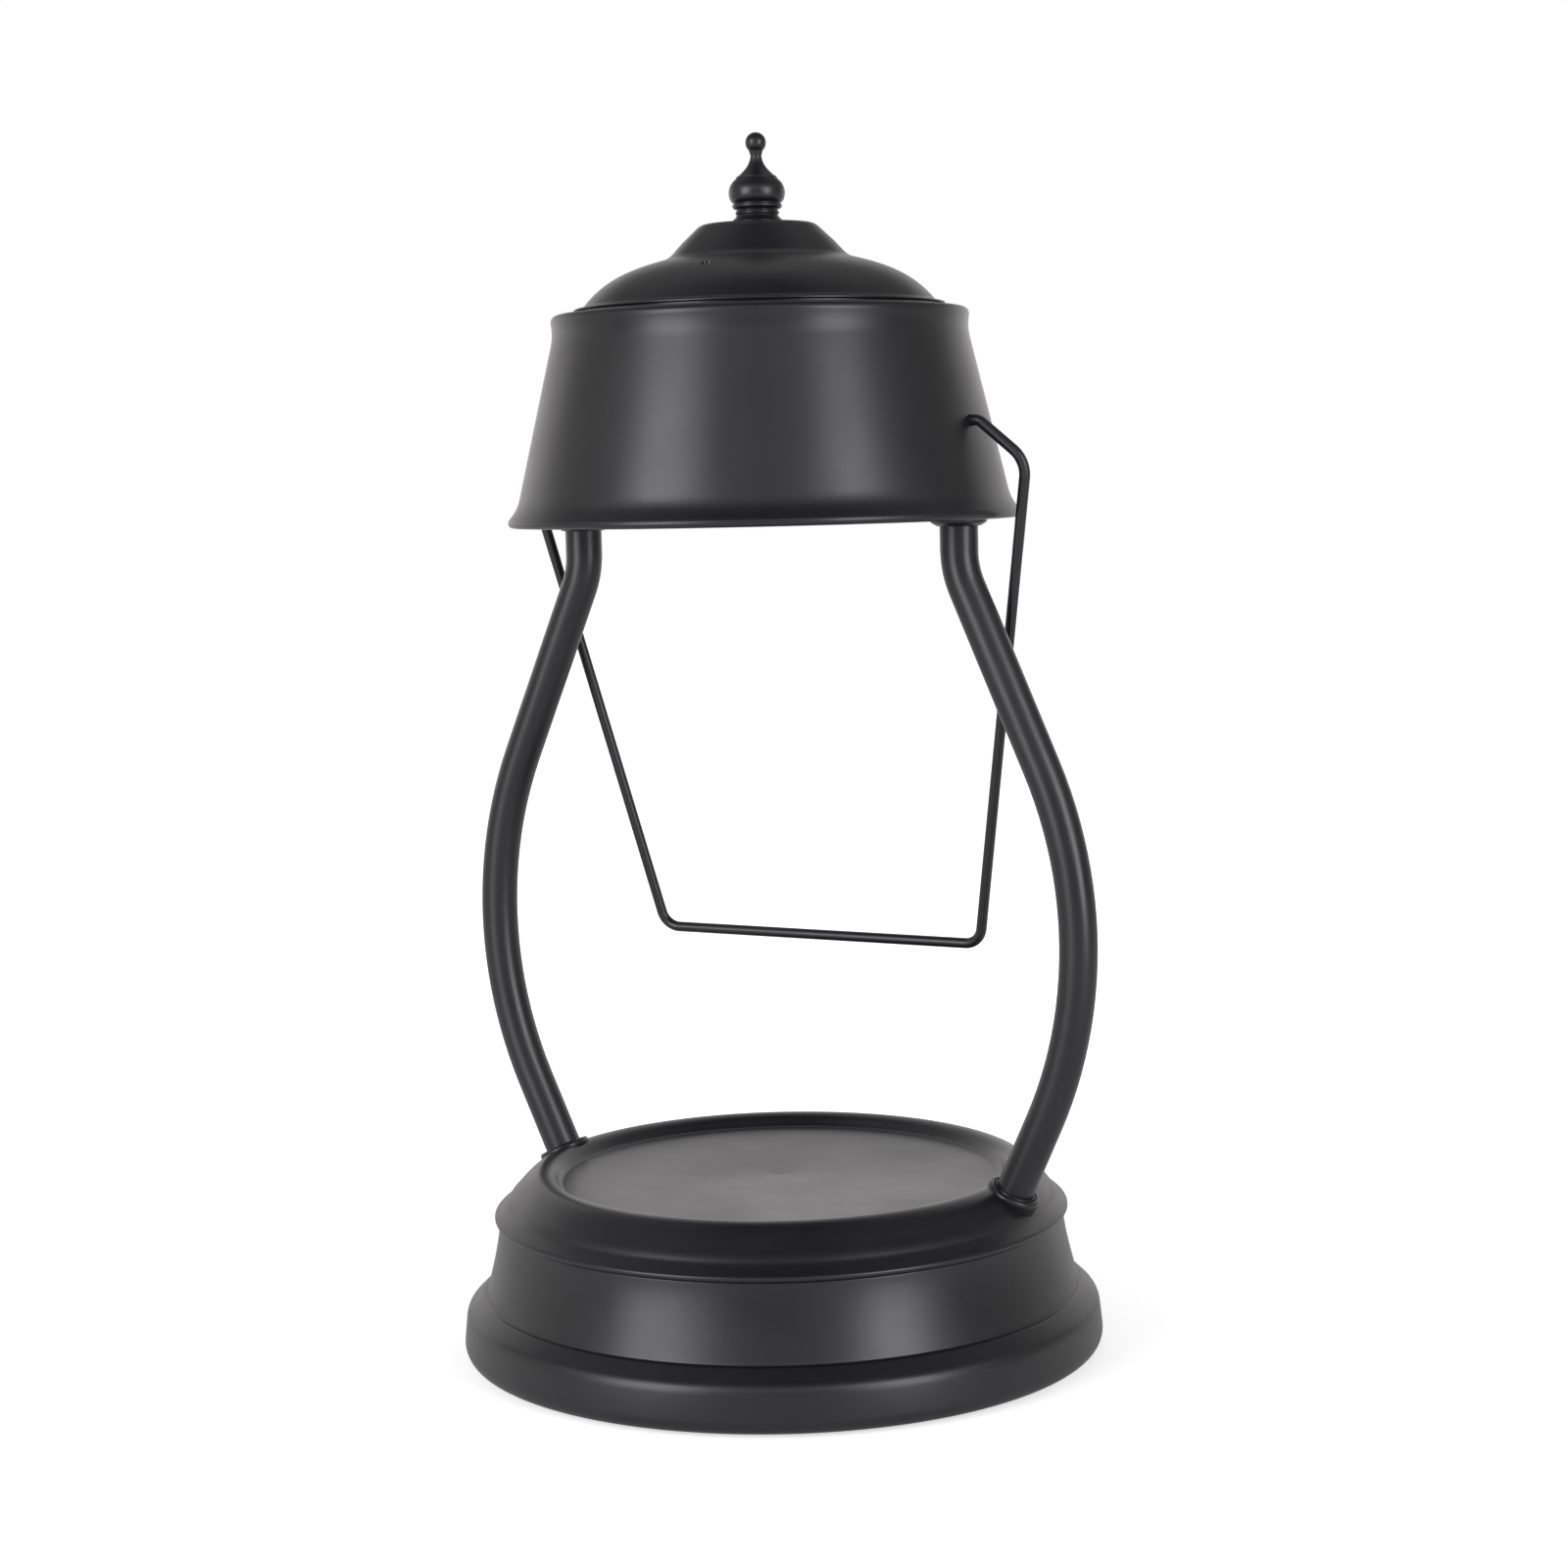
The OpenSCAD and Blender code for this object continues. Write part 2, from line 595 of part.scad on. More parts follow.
module bridge_strap() {
    color(zinc) lift() difference() {
        translate([0, strap_w / 2, 0]) rotate([90, 0, 0]) linear_extrude(strap_w) {
            both_sides() {
                translate([leg_x - strap_t, post_top_z]) square([strap_end_x - leg_x + strap_t, strap_t]);
                translate([leg_x - strap_t, post_top_z])
                    square([strap_t, shoulder_z + strap_t - post_top_z]);
                translate([raised_x, shoulder_z]) square([leg_x - raised_x, strap_t]);
                translate([raised_x, shoulder_z]) square([strap_t, raised_z + strap_t - shoulder_z]);
            }
            translate([-raised_x - strap_t, raised_z]) square([2 * (raised_x + strap_t), strap_t]);
        }
        both_sides() translate([post_top_x, 0, post_top_z - cut])
            cylinder(d = nipple_d + 6 * thread_gap, h = strap_t + 2 * cut);
        for (y = [-1, 1]) translate([0, y * holder_screw_y, raised_z - cut])
            cylinder(d = screw_d + 0.4, h = strap_t + 2 * cut);
    }
}

// One of the two curved keyholes, from the locked pin back to its way in.
module keyhole(width, z, h) {
    translate([0, 0, z]) rotate([0, 0, -twist]) {
        rotate_extrude(angle = twist) translate([pin_pitch / 2 - width / 2, 0]) square([width, h]);
        for (a = [0, twist]) rotate([0, 0, a]) translate([pin_pitch / 2, 0, 0]) cylinder(d = width, h = h);
    }
}

pin_head_h = 2.6;
keyhole_plate = pin_l - pin_head_h - 2 * bulb_gap;   // the ceramic under a locked pin head
head_room = pin_head_d + 2 * bulb_gap;
contact_t = 0.5;
pin_top_z = pin_l - bulb_gap;  // top of a pin above the holder's lower face

module lamp_holder() {
    color([0.93, 0.92, 0.89]) lift() translate([0, 0, holder_z]) difference() {
        union() {
            cylinder(d1 = holder_d - 1.6, d2 = holder_d, h = 0.8);
            translate([0, 0, 0.8]) cylinder(d = holder_d, h = holder_h - 0.8);
        }
        for (a = [0, 180]) rotate([0, 0, a]) {
            keyhole(pin_neck_d + 2 * bulb_gap, -cut, keyhole_plate + 2 * cut);
            keyhole(head_room, keyhole_plate, pin_top_z - keyhole_plate + bulb_gap + contact_t);
            rotate([0, 0, -twist]) translate([pin_pitch / 2, 0, -cut])
                cylinder(d = head_room, h = keyhole_plate + 2 * cut);
        }
        for (y = [-1, 1]) translate([0, y * holder_screw_y, holder_h - 6])
            cylinder(d = screw_d, h = 6 + cut);
        translate([-holder_d / 2 - cut, 0, cable_in_z - holder_z]) rotate([0, 90, 0])
            cylinder(d = cable_d + 0.4, h = 3 + cut);
    }
}

module holder_contacts() {
    color(brass) lift() for (a = [0, 180]) rotate([0, 0, a])
        translate([pin_pitch / 2 - 1.6, -1.6, holder_z + pin_top_z + bulb_gap]) cube([3.2, 3.2, contact_t]);
}

module holder_screws() {
    color(zinc) lift() for (y = [-1, 1]) translate([0, y * holder_screw_y, raised_z + strap_t])
    difference() {
        union() {
            translate([0, 0, -strap_t - 5]) cylinder(d = screw_d - 2 * thread_gap, h = strap_t + 5);
            cylinder(d = 5, h = 1.2);
            translate([0, 0, 1.2]) cylinder(d1 = 5, d2 = 3.6, h = 0.6);
        }
        translate([-3, -0.35, 1]) cube([6, 0.7, 1]);
    }
}

// ---------------------------------------------------------------- shade, cap and finial

cone_low_z = rim_z + 9.1;
cone_high_z = ledge_z - 8;
shade_outside = concat(
    curve([rim_r - 1.3, rim_z], [rim_r - 0.5, rim_z], [rim_r, rim_z + 0.5], [rim_r, rim_z + 1.2], 4),
    curve([rim_r, rim_z + 1.2], [rim_r, rim_z + 1.7], [rim_r - 0.3, rim_z + 2.1],
          [rim_r - 0.8, rim_z + 2.7], 3),
    curve([rim_r - 0.8, rim_z + 2.7], [rim_r - 2.2, rim_z + 4.4], [cone_low_r + 0.6, rim_z + 6],
          [cone_low_r, cone_low_z], 6),
    [[cone_high_r, cone_high_z]],
    curve([cone_high_r, cone_high_z], [cone_high_r - 0.5, cone_high_z + 2.1],
          [bead_r - 0.35, ledge_z - 4.4], [bead_r, ledge_z - 2], 5),
    curve([bead_r, ledge_z - 2], [bead_r + 0.1, ledge_z - 0.9], [bead_r - 0.6, ledge_z - 0.1],
          [bead_r - 1.7, ledge_z], 5));
shade_skin = shade_sheet * 1.05;
shade_in = [for (p = shade_outside) if (p[1] > rim_z + 2 && p[1] < ledge_z - shade_sheet) p];

module shade_body() {
    hole = wire_d + 2 * wire_gap;
    color(black_paint) lift() difference() {
        rotate_extrude() polygon(concat(
            [[rim_r - 1.3, rim_z]], shade_outside,
            [[ledge_hole_r, ledge_z], [ledge_hole_r, ledge_z - shade_sheet],
             [bead_r - 0.9 - shade_skin, ledge_z - shade_sheet]],
            reversed(inwards(shade_in, shade_skin)),
            [[rim_r - 1.9, rim_z + 1.6], [rim_r - 1.9, rim_z + 0.6]]));
        translate([-rim_r, 0, pivot_z]) rotate([0, 90, 0]) cylinder(d = hole, h = 2 * rim_r);
    }
}

cap_low = [dome_r, ledge_z + 2.2];
brim_z = ledge_z + brim_gap;
dome_top_z = ledge_z + dome_h;
cap_outside = concat(
    [[cap_brim_r - 1.4, ledge_z], [cap_brim_r - 1.4, brim_z], [cap_brim_r, brim_z],
     [cap_brim_r, brim_z + 0.4]],
    curve([cap_brim_r, brim_z + 0.4], [cap_brim_r - 0.5, brim_z + 0.7], [dome_r + 0.7, cap_low[1] - 0.8],
          cap_low, 5),
    curve(cap_low, [dome_r - 5.2, dome_top_z - 4.4], [cove_r + 7.9, dome_top_z - 2],
          [cove_r, dome_top_z], 12),
    curve([cove_r, dome_top_z], [cove_r - 1.1, dome_top_z + 0.3], [cove_r - 2, dome_top_z + 0.8],
          [cove_r - 2.8, dome_top_z + 1.7], 5),
    [[cove_r - 5.1, cap_top_z - 4.6], [cap_top_r + 2.4, cap_top_z - 1.2]],
    curve([cap_top_r + 2.4, cap_top_z - 1.2], [cap_top_r + 1.6, cap_top_z - 0.4],
          [cap_top_r + 0.8, cap_top_z], [cap_top_r, cap_top_z], 4));
cap_in = [for (p = cap_outside) if (p[1] > brim_z + 0.9 && p[1] < cap_top_z - 0.1) p];

module shade_cap() {
    color(black_paint) lift() difference() {
        rotate_extrude() polygon(concat(
            cap_outside, [[stud_d / 2 + 0.2, cap_top_z], [stud_d / 2 + 0.2, cap_top_z - cap_sheet],
                          [cap_top_r - 0.3, cap_top_z - cap_sheet]],
            reversed([for (p = cap_in) [p[0] - cap_sheet * 0.75, p[1] - cap_sheet * 0.75]]),
            [[cap_brim_r - 1.4 - cap_sheet, ledge_z]]));
        for (y = [-1, 1]) rotate([0, 0, vent_turn]) translate([0, y * vent_r, ledge_z])
            cylinder(d = vent_d, h = cap_h);
    }
}

module finial_stud() {
    color(zinc) lift() translate([0, 0, raised_z + strap_t]) {
        cylinder(d = stud_d + 2, h = 1.2);
        cylinder(d = stud_d - 2 * thread_gap, h = cap_top_z + stud_grip - raised_z - strap_t);
    }
}

finial_neck_z = cap_top_z + finial_body_h;
ball_z = finial_neck_z + 3.25;
function ball(a, b, n) = [for (i = [1 : n]) let (t = a + (b - a) * i / n)
    [max(0, finial_ball_r * cos(t)), ball_z + finial_ball_r * sin(t)]];
function above_cap(list) = [for (p = list) [p[0], cap_top_z + p[1]]];
finial_outside = concat(
    above_cap(concat(
        [[finial_r - 0.5, 0], [finial_r - 0.5, 0.7]],
        curve([finial_r - 0.5, 0.7], [finial_r - 1.2, 1.1], [finial_r - 1.8, 1.7], [finial_r - 2, 2.3], 4),
        curve([finial_r - 2, 2.3], [finial_r - 1.5, 2.4], [finial_r - 1.5, 3.1], [finial_r - 2, 3.2], 4),
        [[finial_r - 1.9, 3.6]],
        curve([finial_r - 1.9, 3.6], [finial_r - 0.7, 3.7], [finial_r - 0.7, 4.8], [finial_r - 1.2, 4.9], 4),
        curve([finial_r - 1.2, 5.1], [finial_r, 5.9], [finial_r + 0.5, 8.4], [finial_r - 1, 10.3], 9),
        [[finial_r - 2, 11.3], [finial_r - 2.1, 11.7], [finial_r - 2.6, 11.9]])),
    curve([finial_r - 2.6, cap_top_z + 11.9], [finial_r - 4.1, cap_top_z + 13.3],
          [1.7, cap_top_z + 14.4], [1.4, finial_neck_z], 7),
    [[1.65, finial_neck_z + 0.9]],
    ball(-51, 90, 12));

module finial() {
    color(black_paint) lift() difference() {
        rotate_extrude() polygon(concat([[0, cap_top_z]], finial_outside));
        translate([0, 0, cap_top_z - cut]) cylinder(d = stud_d, h = stud_grip + 1 + cut);
    }
}

// ---------------------------------------------------------------- bail

hook_x = 51.5;                 // centre of the hook inside the shade
hook_l = 6;
pivot_bend_x = 59.9;           // where the wire turns down outside the shade
bail_corners = [[hook_x, -hook_l, 0], [hook_x, 0, 2.2], [pivot_bend_x, 0, 2.5],
                [bail_shoulder_x, -bail_shoulder_h, 7.5], [rail_x, -bail_l, 5]];
bail_path = concat(bail_corners, [for (p = reversed(bail_corners)) [-p[0], p[1], p[2]]]);

module bail_handle() {
    color(black_paint) lift() translate([0, 0, pivot_z]) rotate([bail_lean, 0, 0])
        bent_rod(bail_path, wire_d);
}

// ---------------------------------------------------------------- bulb

bulb_neck_z = bulb_top_z - bulb_base_l;
glass_t = 1.2;
reflector_outside = concat(
    [[bulb_r - 0.6, bulb_face_z], [bulb_r, bulb_face_z + 0.6], [bulb_r, bulb_face_z + 2.2],
     [bulb_r - 0.5, bulb_face_z + 2.8]],
    curve([bulb_r - 0.5, bulb_face_z + 2.8], [bulb_r - 1.5, bulb_face_z + 14],
          [bulb_base_r + 6, bulb_neck_z - 8], [bulb_base_r + 1.5, bulb_neck_z], 10));

module bulb_reflector() {
    inner = [for (p = reflector_outside) if (p[1] > bulb_face_z + 2.5) [p[0] - glass_t, p[1]]];
    color([0.86, 0.87, 0.88]) lift() rotate_extrude() polygon(concat(
        reflector_outside, [[bulb_base_r - glass_t, bulb_neck_z]], reversed(inner),
        [[bulb_r - 1.7, bulb_face_z + 2.2], [bulb_r - 1.7, bulb_face_z]]));
}

module bulb_lens() {
    color([0.85, 0.92, 0.95, 0.4]) lift() translate([0, 0, bulb_face_z])
        cylinder(r = bulb_r - 1.7 - thread_gap, h = 1.6);
}

module bulb_capsule() {
    capsule_d = 9;
    tip_h = 3;
    color([0.95, 0.95, 0.9, 0.5]) lift() translate([0, 0, bulb_neck_z - capsule_l]) {
        cylinder(d1 = capsule_d - 4, d2 = capsule_d, h = tip_h);
        translate([0, 0, tip_h]) cylinder(d = capsule_d, h = capsule_l - tip_h);
    }
}

module bulb_base() {
    color([0.93, 0.92, 0.89]) lift() translate([0, 0, bulb_neck_z]) {
        cylinder(r = bulb_base_r, h = bulb_base_l - 1);
        translate([0, 0, bulb_base_l - 1]) cylinder(r1 = bulb_base_r, r2 = bulb_base_r - 1, h = 1);
    }
}

module bulb_pins() {
    color(zinc) lift() for (x = [-1, 1]) translate([x * pin_pitch / 2, 0, bulb_top_z]) {
        cylinder(d = pin_neck_d, h = pin_l - pin_head_h);
        translate([0, 0, pin_l - pin_head_h]) cylinder(d = pin_head_d, h = pin_head_h - 0.6);
        translate([0, 0, pin_l - 0.6]) cylinder(d1 = pin_head_d, d2 = pin_head_d - 1.2, h = 0.6);
    }
}

// ---------------------------------------------------------------- cable in the left post

cable_in_z = holder_z + 6;
// Points of the left post's own centre line, from foot to top, as [x, z].
function bow_points(n) = [for (i = [0 : n]) let (a = -post_lower_lean
    + (post_lower_lean + post_upper_lean) * i / n)
    [bow_centre_x + post_bow_r * cos(a), bow_centre_z + post_bow_r * sin(a)]];
function bend_points(n) = [for (i = [0 : n]) let (a = 180 + post_upper_lean * (1 - i / n))
    [post_top_x + post_bend_r + post_bend_r * cos(a), bend_z + post_bend_r * sin(a)]];
nipple_top_z = post_top_z + top_nipple_l - nipple_in + 1;
foot_out = [post_foot_x, post_foot_z] - (base_nipple_l + 1) * [sin(post_lower_lean), cos(post_lower_lean)];
in_post = concat([foot_out, [post_foot_x, post_foot_z]], bow_points(9), bend_points(3),
                 [[post_top_x, post_top_z], [post_top_x, nipple_top_z]]);
// From the terminal block round the inside of the skirt to the foot of the left post. The share
// of the way sets the angle and the distance from the axis, and its cube sets the height.
block_port = [-block_w / 2 - 0.4, block_y, block_z + wire_port_h];
block_port_r = norm([block_port[0], block_port[1]]);
block_port_a = atan2(block_port[1], block_port[0]);
cable_in_base = [for (u = [0.08 : 0.14 : 0.93]) let (
    a = block_port_a + (180 - block_port_a) * u,
    r = block_port_r + (foot_out[0] - block_port_r) * u - 1.7 * cable_d * sin(180 * u))
    [r * cos(a), r * sin(a), block_port[2] + (foot_out[1] - block_port[2]) * u * u * u]];
// From the top of the left nipple past the strap's edge and up into the holder. Each entry has
// its shares of the way across, of the strap's width to the side, and of the rise.
cable_way = [[0.01, 0.08, 0.06], [0.05, 0.3, 0.12], [0.12, 0.56, 0.2], [0.22, 0.68, 0.3],
             [0.36, 0.68, 0.46], [0.55, 0.5, 0.6], [0.74, 0.28, 0.68], [0.86, 0.1, 0.82],
             [0.925, 0.02, 0.95]];
cable_above = [for (w = cable_way)
    [-post_top_x + (post_top_x - holder_d / 2) * w[0], strap_w * w[1],
     nipple_top_z + (cable_in_z - nipple_top_z) * w[2]]];
cable_points = concat(
    [block_port], cable_in_base, [for (p = in_post) [-p[0], 0, p[1]]], cable_above,
    [[-holder_d / 2 - 1, 0, cable_in_z], [-holder_d / 2 + 2.5, 0, cable_in_z]]);

cable_sides = 8;
function tangent(points, i) = unit(points[min(i + 1, len(points) - 1)] - points[max(i - 1, 0)]);
// A side direction carried along the route from point to point, so that the tube doesn't twist.
function carried(points, i) = i == 0 ? unit(cross(tangent(points, 0), [0, 0, 1]))
    : let (t = tangent(points, i), s = carried(points, i - 1)) unit(s - t * (s * t));
function ring(points, i, d) = let (t = tangent(points, i), s = carried(points, i), u = cross(t, s))
    [for (k = [0 : cable_sides - 1]) let (a = 360 * k / cable_sides)
        points[i] + d / 2 * (s * cos(a) + u * sin(a))];

module sweep(points, d) {
    last = len(points) - 1;
    polyhedron(
        points = concat([for (i = [0 : last]) each ring(points, i, d)], [points[0], points[last]]),
        faces = concat(
            [for (i = [0 : last - 1], k = [0 : cable_sides - 1]) each let (
                a = i * cable_sides + k, b = i * cable_sides + (k + 1) % cable_sides)
                [[a, b, b + cable_sides], [a, b + cable_sides, a + cable_sides]]],
            [for (k = [0 : cable_sides - 1]) [(last + 1) * cable_sides, (k + 1) % cable_sides, k]],
            [for (k = [0 : cable_sides - 1]) [(last + 1) * cable_sides + 1,
                last * cable_sides + k, last * cable_sides + (k + 1) % cable_sides]]));
}

module lead_cable() { color([0.85, 0.85, 0.82]) lift() sweep(cable_points, cable_d); }

// ---------------------------------------------------------------- nodes

base_pan();
base_skirt();
bottom_cover();
cover_standoffs();
cover_screws();
rubber_feet();
cord_grommet();
terminal_block();
terminal_screws();
lead_cable();
left_post();
right_post();
threaded_nipples();
post_collars();
bevel_washers();
base_nuts();
top_collars();
bridge_strap();
top_washers();
top_nuts();
lamp_holder();
holder_contacts();
holder_screws();
finial_stud();
shade_body();
shade_cap();
finial();
bail_handle();
bulb_reflector();
bulb_lens();
bulb_capsule();
bulb_base();
bulb_pins();
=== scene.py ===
import math

import bmesh
import bpy
from mathutils import Matrix, Vector


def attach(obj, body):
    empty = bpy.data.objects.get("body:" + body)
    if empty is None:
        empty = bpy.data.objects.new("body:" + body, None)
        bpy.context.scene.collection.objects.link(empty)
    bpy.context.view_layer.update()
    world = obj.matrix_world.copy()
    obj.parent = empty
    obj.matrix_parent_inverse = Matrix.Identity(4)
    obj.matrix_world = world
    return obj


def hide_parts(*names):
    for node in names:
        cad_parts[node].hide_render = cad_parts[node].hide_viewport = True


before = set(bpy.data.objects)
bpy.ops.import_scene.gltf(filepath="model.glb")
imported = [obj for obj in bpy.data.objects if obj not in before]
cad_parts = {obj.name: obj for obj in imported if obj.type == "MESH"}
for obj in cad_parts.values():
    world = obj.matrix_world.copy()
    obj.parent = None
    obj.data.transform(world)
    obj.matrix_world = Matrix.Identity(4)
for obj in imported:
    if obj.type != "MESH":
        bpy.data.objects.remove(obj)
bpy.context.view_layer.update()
MM = 0.001
rad = math.radians


def add_to_scene(name, data):
    obj = bpy.data.objects.new(name, data)
    bpy.context.scene.collection.objects.link(obj)
    return obj


# ------------------------------------------------------------------ camera
view_turn = rad(28.5)  # from the lamp's front towards its right
camera_place = Vector((0, -0.76872, 0.22585))  # before that turn
camera_lens = 69.478
pitch = 0.1042  # these three in radians
yaw = 0.0043
roll = -0.0237


def make_camera():
    """A camera that looks slightly down at the lamp, as in the photo."""
    ahead = Vector((math.sin(yaw) * math.cos(pitch), math.cos(yaw) * math.cos(pitch), -math.sin(pitch)))
    right = Vector((math.cos(yaw), -math.sin(yaw), 0))
    up = right.cross(ahead)
    cam_x = right * math.cos(roll) + up * math.sin(roll)
    cam_y = up * math.cos(roll) - right * math.sin(roll)
    turned = Matrix.Rotation(view_turn, 3, "Z")
    facing = turned @ Matrix((cam_x, cam_y, -ahead)).transposed()
    cam = add_to_scene("camera", bpy.data.cameras.new("camera"))
    cam.matrix_world = Matrix.Translation(turned @ camera_place) @ facing.to_4x4()
    cam.data.sensor_width = 36
    cam.data.lens = camera_lens
    cam.data.clip_start = 0.01
    cam.data.clip_end = 50
    bpy.context.scene.camera = cam


make_camera()
bpy.context.scene.view_settings.view_transform = "Standard"


# ------------------------------------------------------------------ materials
class Nodes:
    """Short ways to add nodes to a node tree and to link them."""

    def __init__(self, tree):
        self.t = tree
        self.t.nodes.clear()

    def n(self, kind, **props):
        node = self.t.nodes.new(kind)
        for k, v in props.items():
            setattr(node, k, v)
        return node

    def link(self, a, b):
        self.t.links.new(a, b)

    def ramp(self, fac, *stops):
        """Each stop is (position, grey or colour)."""
        node = self.n("ShaderNodeValToRGB")
        els = node.color_ramp.elements
        while len(els) < len(stops):
            els.new(0.5)
        for e, (at, value) in zip(els, stops):
            e.position = at
            c = value if isinstance(value, tuple) else (value,) * 3
            e.color = (*c, 1)
        self.link(fac, node.inputs["Fac"])
        return node.outputs["Color"]

    def span(self, fac, a, b, lo=0.0, hi=1.0, **props):
        """Runs from a to b while fac runs from lo to hi."""
        node = self.n("ShaderNodeMapRange", **props)
        for k, v in zip(("From Min", "From Max", "To Min", "To Max"), (lo, hi, a, b)):
            node.inputs[k].default_value = v
        self.link(fac, node.inputs["Value"])
        return node.outputs[0]

    def math(self, op, a, b):
        node = self.n("ShaderNodeMath", operation=op)
        for i, v in enumerate((a, b)):
            if isinstance(v, (int, float)):
                node.inputs[i].default_value = v
            else:
                self.link(v, node.inputs[i])
        return node.outputs[0]

    def mix(self, fac, a, b):
        node = self.n("ShaderNodeMix", data_type="RGBA")
        for socket, v in ((node.inputs[0], fac), (node.inputs[6], a), (node.inputs[7], b)):
            if isinstance(v, (int, float)):
                socket.default_value = v
            elif isinstance(v, tuple):
                socket.default_value = (*v, 1)
            else:
                self.link(v, socket)
        return node.outputs[2]

    def either(self, fac, a, b):
        """Shader a where fac is 0 and shader b where it is 1."""
        node = self.n("ShaderNodeMixShader")
        for i, v in enumerate((fac, a, b)):
            self.link(v, node.inputs[i])
        return node.outputs[0]


class Mat(Nodes):
    """A node material with a few short ways to add noise, cells and bumps."""

    def __init__(self, name):
        self.m = bpy.data.materials.new(name)
        self.m.use_nodes = True
        super().__init__(self.m.node_tree)
        self.out = self.n("ShaderNodeOutputMaterial")
        self.p = self.n("ShaderNodeBsdfPrincipled")
        self.link(self.p.outputs[0], self.out.inputs["Surface"])
        self.where = self.n("ShaderNodeTexCoord").outputs["Object"]

    def set(self, **values):
        """Sets plain inputs of the surface; an underscore stands for a space."""
        for k, v in values.items():
            self.p.inputs[k.replace("_", " ")].default_value = v
        return self

    def stretched(self, x, y, z):
        node = self.n("ShaderNodeMapping")
        node.inputs["Scale"].default_value = (x, y, z)
        self.link(self.where, node.inputs["Vector"])
        return node.outputs[0]

    def noise(self, scale, detail=3, rough=0.5, vector=None):
        node = self.n("ShaderNodeTexNoise")
        node.inputs["Scale"].default_value = scale
        node.inputs["Detail"].default_value = detail
        node.inputs["Roughness"].default_value = rough
        self.link(vector or self.where, node.inputs["Vector"])
        return node.outputs["Fac"]

    def cells(self, scale):
        """Distance to the nearest of many scattered points."""
        node = self.n("ShaderNodeTexVoronoi", feature="F1")
        node.inputs["Scale"].default_value = scale
        self.link(self.where, node.inputs["Vector"])
        return node.outputs["Distance"]

    def bump(self, *heights):
        """Each height is (fac, strength, distance in metres); they stack."""
        last = None
        for fac, strength, distance in heights:
            node = self.n("ShaderNodeBump")
            node.inputs["Strength"].default_value = strength
            node.inputs["Distance"].default_value = distance
            self.link(fac, node.inputs["Height"])
            if last is not None:
                self.link(last, node.inputs["Normal"])
            last = node.outputs[0]
        self.link(last, self.p.inputs["Normal"])
        return self

    def col(self, c):
        self.link(c, self.p.inputs["Base Color"])
        return self

    def rough(self, c):
        self.link(c, self.p.inputs["Roughness"])
        return self


def satin_black(name, rough_lo, rough_hi, peel=0.05):
    """Sprayed satin paint: fine orange peel, uneven gloss, and a very few pale specks of dust."""
    m = Mat(name).set(Metallic=0.0, IOR=1.5)
    cloudy = m.noise(38, 4, 0.55)
    fine = m.noise(900, 2, 0.5)
    grain = m.noise(5200, 2, 0.6)
    specks = m.math("LESS_THAN", m.cells(330), 0.045)
    seldom = m.math("LESS_THAN", m.noise(21, 1, 0.5), 0.36)
    dust = m.math("MULTIPLY", specks, seldom)
    paint = m.ramp(cloudy, (0.3, (0.0055, 0.0052, 0.0070)), (0.72, (0.0073, 0.0070, 0.0088)))
    m.col(m.mix(dust, paint, (0.11, 0.11, 0.105)))
    patchy = m.math("ADD", m.math("MULTIPLY", cloudy, 0.7), m.math("MULTIPLY", grain, 0.3))
    m.rough(m.span(patchy, rough_lo, rough_hi, 0.3, 0.7))
    return m.bump((fine, peel, 0.0001), (grain, peel * 0.6, 0.00004)).m


PAINT = satin_black("satin_black_paint", 0.3, 0.4)
WIRE_PAINT = satin_black("satin_black_wire", 0.3, 0.42, 0.04)
INNER_PAINT = satin_black("satin_black_inside", 0.44, 0.56, 0.09)


def make_zinc():
    """Zinc-plated steel, with marks from drawing and a mottled plating."""
    m = Mat("zinc_plated_steel").set(Metallic=1.0)
    drawn = m.noise(60, 5, 0.6, m.stretched(1, 14, 1))
    mottled = m.noise(420, 3, 0.6)
    m.col(m.ramp(mottled, (0.3, (0.5, 0.51, 0.53)), (0.7, (0.66, 0.665, 0.66))))
    m.rough(m.span(drawn, 0.24, 0.42, 0.3, 0.7))
    return m.bump((drawn, 0.1, 0.0002), (mottled, 0.05, 0.0001)).m


def make_brass():
    """Plain brass, a little worn."""
    m = Mat("brass").set(Metallic=1.0)
    worn = m.noise(300, 4, 0.6)
    m.col(m.ramp(worn, (0.3, (0.55, 0.4, 0.17)), (0.7, (0.78, 0.6, 0.29))))
    m.rough(m.span(worn, 0.22, 0.4, 0.3, 0.7))
    return m.bump((m.noise(1500, 2), 0.08, 0.0001)).m


def make_rubber():
    """Matt black rubber."""
    m = Mat("black_rubber").set(IOR=1.45)
    a = m.noise(1400, 3, 0.6)
    m.col(m.ramp(m.noise(90, 3), (0.3, 0.014), (0.7, 0.026)))
    m.rough(m.span(a, 0.62, 0.82, 0.3, 0.7))
    return m.bump((a, 0.22, 0.00015)).m


def make_ceramic():
    """Pale ceramic with fine pores."""
    m = Mat("steatite_ceramic").set(IOR=1.52)
    pores = m.noise(2200, 3, 0.6)
    m.col(m.ramp(m.noise(55, 4, 0.6), (0.3, (0.72, 0.7, 0.64)), (0.7, (0.82, 0.81, 0.77))))
    m.rough(m.span(pores, 0.3, 0.5, 0.3, 0.7))
    return m.bump((pores, 0.12, 0.00012)).m


def make_plastic(name, lo, hi):
    """Satin plastic that varies between two colours."""
    m = Mat(name).set(IOR=1.46)
    a = m.noise(1800, 2, 0.6)
    m.col(m.ramp(m.noise(70, 3), (0.3, lo), (0.7, hi)))
    m.rough(m.span(a, 0.42, 0.58, 0.3, 0.7))
    return m.bump((a, 0.1, 0.0001)).m


